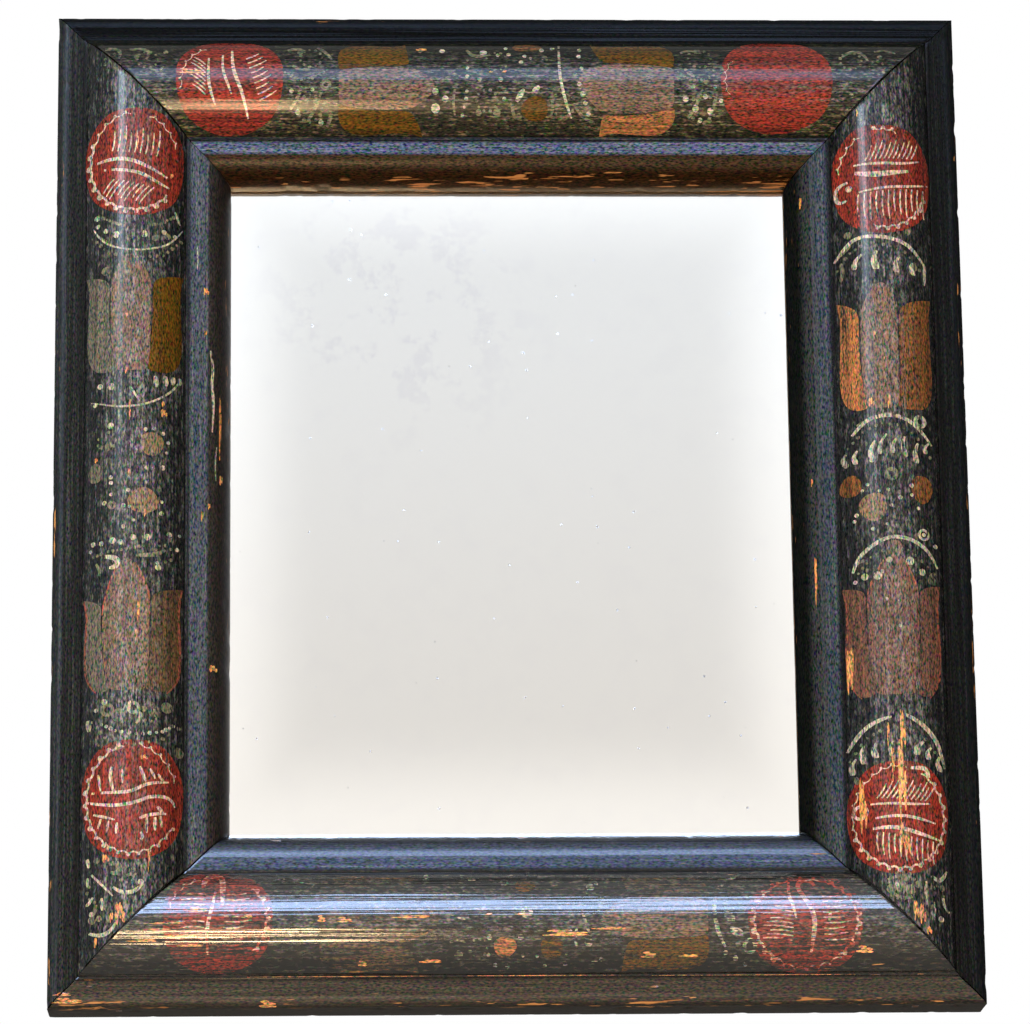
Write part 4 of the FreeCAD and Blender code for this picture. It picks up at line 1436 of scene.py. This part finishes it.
brushEdge = makeBrushEdge()
paintTarget = copyRails()
for (side, paint), layer in layers.items():
    parts = [drawFill(*fill) for fill in layer["fills"]]
    if layer["strokes"]:
        parts.append(drawStrokes(layer["strokes"]))
    piece = joinPieces(side + "_" + paint + "_paint", parts)
    pressOn(piece, paints[paint]["lift"] * mm)
    keepPiece(piece, makePaint(paint, side))
    print("painted:", piece.name, len(piece.data.polygons), "faces")
bpy.data.objects.remove(paintTarget)
bpy.data.objects.remove(brushEdge)


# looking glass

glassFinish = {
    "ior": 1.5,
    "tint": (0.97, 0.985, 0.975),
    "waveScale": 18.0,
    "waveStrength": 0.02,
    "waveDepth": 0.2 * mm,
}

silverFinish = {
    "bright": (0.93, 0.93, 0.935),
    "cloud": (0.76, 0.75, 0.82),
    "cloudPlace": Vector((-45 * mm, backY, frameMid.z + 85 * mm)),
    "cloudReach": (15 * mm, 70 * mm),
    "cloudScale": 70.0,
    "cloudShare": 0.3,
    "cloudAround": 0.06,
    "speck": (0.16, 0.15, 0.14),
    "speckScale": 140.0,
    "speckReach": (0.02, 0.1),
    "speckChance": (0.55, 0.57),
    "backing": (0.1, 0.085, 0.07),
    "bevel": 0.05 * mm,
    "sunk": 0.1 * mm,  # lies this far in the back of the glass, so that the two never share a face
}


def makeGlassFinish():
    material, tree, shader = newMaterial("old plate glass", {
        "Base Color": glassFinish["tint"], "Roughness": 0.0,
        "IOR": glassFinish["ior"], "Transmission Weight": 1.0})
    waves = noiseOf(objectPoint(tree), glassFinish["waveScale"], 1.0)[0]
    addBump(shader, waves, glassFinish["waveStrength"], glassFinish["waveDepth"])
    return material


def makeSilverFinish():
    own = silverFinish
    material, tree, shader = newMaterial("aged silvering", {"Metallic": 1.0})
    point = objectPoint(tree)
    cells = addNode(tree, "ShaderNodeTexVoronoi", {"Vector": point, "Scale": own["speckScale"]}, feature="F1")
    chance = addNode(tree, "ShaderNodeSeparateColor", {0: cells["Color"]})[0]
    speck = (1.0 - softStep(cells["Distance"], *own["speckReach"])) * softStep(chance, *own["speckChance"])
    away = vectorMaths("DISTANCE", point, own["cloudPlace"])["Value"]
    nearby = 1.0 - softStep(away, *own["cloudReach"])
    cloud = softStep(noiseOf(point, own["cloudScale"], 5.0, 0.7)[0], 0.5, 0.62)
    cloud = cloud * (nearby * own["cloudShare"] + own["cloudAround"])
    colour = blendColours(cloud, own["bright"], own["cloud"])
    plugAll(shader, {
        "Base Color": blendColours(speck, colour, own["speck"]), "Roughness": speck * 0.4 + 0.03})
    return material


def dressNode(name, material):
    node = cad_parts[name]
    node.data.materials.clear()
    node.data.materials.append(material)


def makeSilvering():
    low, high = (Vector(corner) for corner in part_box("silvering"))
    deselectAll()
    bpy.ops.mesh.primitive_cube_add(size=1, location=(low + high) / 2)
    piece = named(bpy.context.object, "silvering_layer")
    piece.scale = high - low
    piece.location.y -= silverFinish["sunk"]
    settle(piece)
    editMesh("FACE")
    bpy.ops.mesh.bevel(offset=silverFinish["bevel"], segments=1)
    leaveMesh()
    return piece


dressNode("mirror_glass", makeGlassFinish())
silvering = keepPiece(makeSilvering(), makeSilverFinish())
dullBacking = newMaterial("dull backing", {"Base Color": silverFinish["backing"], "Roughness": 0.85})[0]
silvering.data.materials.append(dullBacking)
for face in silvering.data.polygons:
    face.material_index = int(face.normal.y > 0.5)
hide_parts("silvering")
print("looking glass dressed")


# bare pine and iron at the back

barePine = {"gloss": 0.25, "grainStrength": 0.4, "grainDepth": 0.4 * mm}


def makeBarePine(name, upright, pale, deep):
    material, tree, shader = newMaterial(name, {"Specular IOR Level": barePine["gloss"]})
    grain = boardGrain(tree, upright)
    colour = blendColours(softStep(grain["Figure"], 0.3, 0.7), pale, deep)
    colour = blendColours(softStep(grain["Streaks"], 0.5, 0.75) * 0.4, colour, deep)
    plugAll(shader, {"Base Color": colour, "Roughness": grain["Streaks"] * 0.25 + 0.6})
    height = grain["Streaks"] + grain["Figure"]
    addBump(shader, height, barePine["grainStrength"], barePine["grainDepth"])
    return material


ironFinish = {
    "dark": (0.045, 0.042, 0.04),
    "rust": (0.13, 0.055, 0.025),
    "rustScale": 420.0,
    "pitScale": 900.0,
    "pitStrength": 0.3,
    "pitDepth": 0.2 * mm,
}


def makeIron():
    material, tree, shader = newMaterial("rusted iron")
    point = objectPoint(tree)
    rust = softStep(noiseOf(point, ironFinish["rustScale"], 4.0, 0.6)[0], 0.45, 0.62)
    plugAll(shader, {
        "Base Color": blendColours(rust, ironFinish["dark"], ironFinish["rust"]),
        "Metallic": 0.85 - rust * 0.7, "Roughness": rust * 0.4 + 0.42})
    pits = noiseOf(point, ironFinish["pitScale"], 3.0)[0]
    addBump(shader, pits, ironFinish["pitStrength"], ironFinish["pitDepth"])
    return material


backPine = makeBarePine("darkened back pine", 1.0, pineColours["agedPale"], pineColours["agedDeep"])
blockPine = makeBarePine("block pine", 0.0, pineColours["blockPale"], pineColours["blockDeep"])
iron = makeIron()
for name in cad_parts:
    if "nails" in name or name.startswith("hanger"):
        dressNode(name, iron)
    elif name.startswith("backboard_"):
        dressNode(name, backPine)
    elif name.startswith("glass_blocks"):
        dressNode(name, blockPine)
print("back dressed")


# floor, light and camera

staging = {
    "floorSize": 24.0,
    "floorDrop": 1.3,  # the mirror hangs this far above the floor
    "floorColour": (0.80, 0.77, 0.72),
    "lamps": {  # side and rise in degrees, away and size in metres; glint is seen in the gloss only
        "window": {"side": -13, "rise": 42.5, "away": 4.0, "size": (3.07, 2.15), "power": 58, "glint": 0,
                   "colour": (0.8, 0.9, 1.0)},
        "sash": {"side": -13, "rise": 36.8, "away": 4.0, "size": (3.07, 1.62), "power": 0, "glint": 275,
                 "colour": (0.45, 0.62, 1.0)},
        "room": {"side": 3, "rise": -25, "away": 2.0, "size": (1.5, 1.22), "power": 28, "glint": 3,
                 "colour": (1.0, 0.68, 0.38)},
        "hearth": {"side": -7.1, "rise": -25, "away": 1.16, "size": (0.11, 0.36), "power": 0, "glint": 0.62,
                   "colour": (1.0, 0.69, 0.37), "aim": (-0.1, 0, 0.171), "spread": 33.4},
        "front": {"side": -30, "rise": 9, "away": 2.2, "size": (1.2, 1.2), "power": 30, "glint": 0,
                  "colour": (1.0, 0.98, 0.95)},
        "pane": {"side": -33, "rise": 23, "away": 4.0, "size": (0.7, 0.48), "power": 0, "glint": 85,
                 "colour": (0.7, 0.85, 1.0)},
    },
    "airLevel": 0.2,
    "airColour": (0.95, 0.98, 1.0),
    "greyMiddle": (0.040, 0.269),  # slopes of the directions that the looking glass shows the camera
    "greyHalf": (0.059, 0.070),
    "greyEdge": (0.68, 1.02),  # in shares of that half
    "greyEnd": (1.1, 2.5),
    "roomLevel": 0.9,
    "roomGain": 0.28,
    "roomCool": (0.98, 0.985, 1.0),
    "roomWarm": (0.905, 0.855, 0.805),
    "roomDim": 0.7,  # the room's right side is dark
    "dimReach": (0.3, 0.85),
    "glintAhead": 0.03,  # in front of the lamp's other half, so that the two never share a plane
}

cameraSetting = {
    "away": 2.0,
    "tilt": 14.85,
    "turn": 2.34,
    "roll": -0.70,
    "aim": Vector((0.7 * mm, -25 * mm, -6.3 * mm)),  # from the middle of the frame's back
    "focalShare": 4.856,  # focal length over image width
    "sensor": 36.0,
}


def makeFloor():
    deselectAll()
    place = (frameMid.x, backY, frameLow.z - staging["floorDrop"])
    bpy.ops.mesh.primitive_plane_add(size=staging["floorSize"], location=place)
    floor = bpy.context.object
    floor.name = "floor"
    settle(floor)
    finish = newMaterial("pale floor", {"Base Color": staging["floorColour"], "Roughness": 0.8})[0]
    floor.data.materials.append(finish)


def addLamp(label, place, power, nearer=0.0):
    turn, lift = math.radians(place["side"]), math.radians(place["rise"])
    outward = Vector((math.sin(turn) * math.cos(lift), -math.cos(turn) * math.cos(lift), math.sin(lift)))
    deselectAll()
    bpy.ops.object.light_add(type="AREA", location=frameMid + outward * (place["away"] - nearer))
    lamp = bpy.context.object
    lamp.name = label
    facing = lamp.location - frameMid - Vector(place.get("aim", (0, 0, 0)))
    lamp.rotation_euler = facing.to_track_quat("Z", "Y").to_euler()
    lamp.data.spread = math.radians(place.get("spread", 180))
    lamp.data.shape = "RECTANGLE"
    lamp.data.size, lamp.data.size_y = place["size"]
    lamp.data.energy = power
    lamp.data.color = place["colour"]
    lamp.visible_camera = False
    return lamp


def makeWorld():
    world = bpy.data.worlds.new("studio")
    world.use_nodes = True
    bpy.context.scene.world = world
    tree = world.node_tree
    path = addNode(tree, "ShaderNodeLightPath")
    mirrored = larger(path["Is Glossy Ray"], path["Is Transmission Ray"])
    seen = larger(path["Is Camera Ray"], mirrored)
    # the room in front is a little greyer in its middle, cooler above and warmer below
    ray = addNode(tree, "ShaderNodeSeparateXYZ", {0: addNode(tree, "ShaderNodeTexCoord")["Generated"]})
    ahead = larger(ray[1] * -1.0, 0.001)
    halfWide, halfTall = staging["greyHalf"]
    across = ray[0] / ahead - staging["greyMiddle"][0]
    above = ray[2] / ahead - staging["greyMiddle"][1]
    edge = larger(abs(across) / halfWide, abs(above) / halfTall)
    shade = softStep(edge, *staging["greyEdge"]) - softStep(edge, *staging["greyEnd"])
    dim = softStep(ray[0], *staging["dimReach"]) * staging["roomDim"]
    level = (shade * staging["roomGain"] + staging["roomLevel"]) * (1.0 - dim)
    level = mirrored * level + (1.0 - mirrored)
    room = blendColours(softStep(above, -halfTall, halfTall), staging["roomWarm"], staging["roomCool"])
    room = blendColours(mirrored, (1.0, 1.0, 1.0), room)
    plugAll(tree.nodes["Background"], {
        "Color": blendColours(seen, staging["airColour"], room),
        "Strength": (1.0 - seen) * staging["airLevel"] + seen * level})


def makeCamera():
    tilt, turn, roll = (math.radians(cameraSetting[key]) for key in ("tilt", "turn", "roll"))
    ahead = Vector((math.sin(turn) * math.cos(tilt), math.cos(turn) * math.cos(tilt), math.sin(tilt)))
    level = Vector((math.cos(turn), -math.sin(turn), 0))
    upward = level.cross(ahead)
    rightward = level * math.cos(roll) + upward * math.sin(roll)
    upward = upward * math.cos(roll) - level * math.sin(roll)
    aim = Vector((frameMid.x, backY, frameMid.z)) + cameraSetting["aim"]
    deselectAll()
    bpy.ops.object.camera_add(location=aim - ahead * cameraSetting["away"])
    camera = bpy.context.object
    camera.rotation_euler = Matrix((rightward, upward, -ahead)).transposed().to_euler()
    camera.data.sensor_width = cameraSetting["sensor"]
    camera.data.lens = cameraSetting["focalShare"] * cameraSetting["sensor"]
    bpy.context.scene.camera = camera


makeFloor()
for label, place in staging["lamps"].items():
    if place["power"]:
        addLamp(label, place, place["power"]).visible_glossy = False
    if place["glint"]:
        addLamp(label + " glint", place, place["glint"], staging["glintAhead"]).visible_diffuse = False
makeWorld()
makeCamera()
bpy.context.scene.view_settings.view_transform = "Standard"
print("stage set")
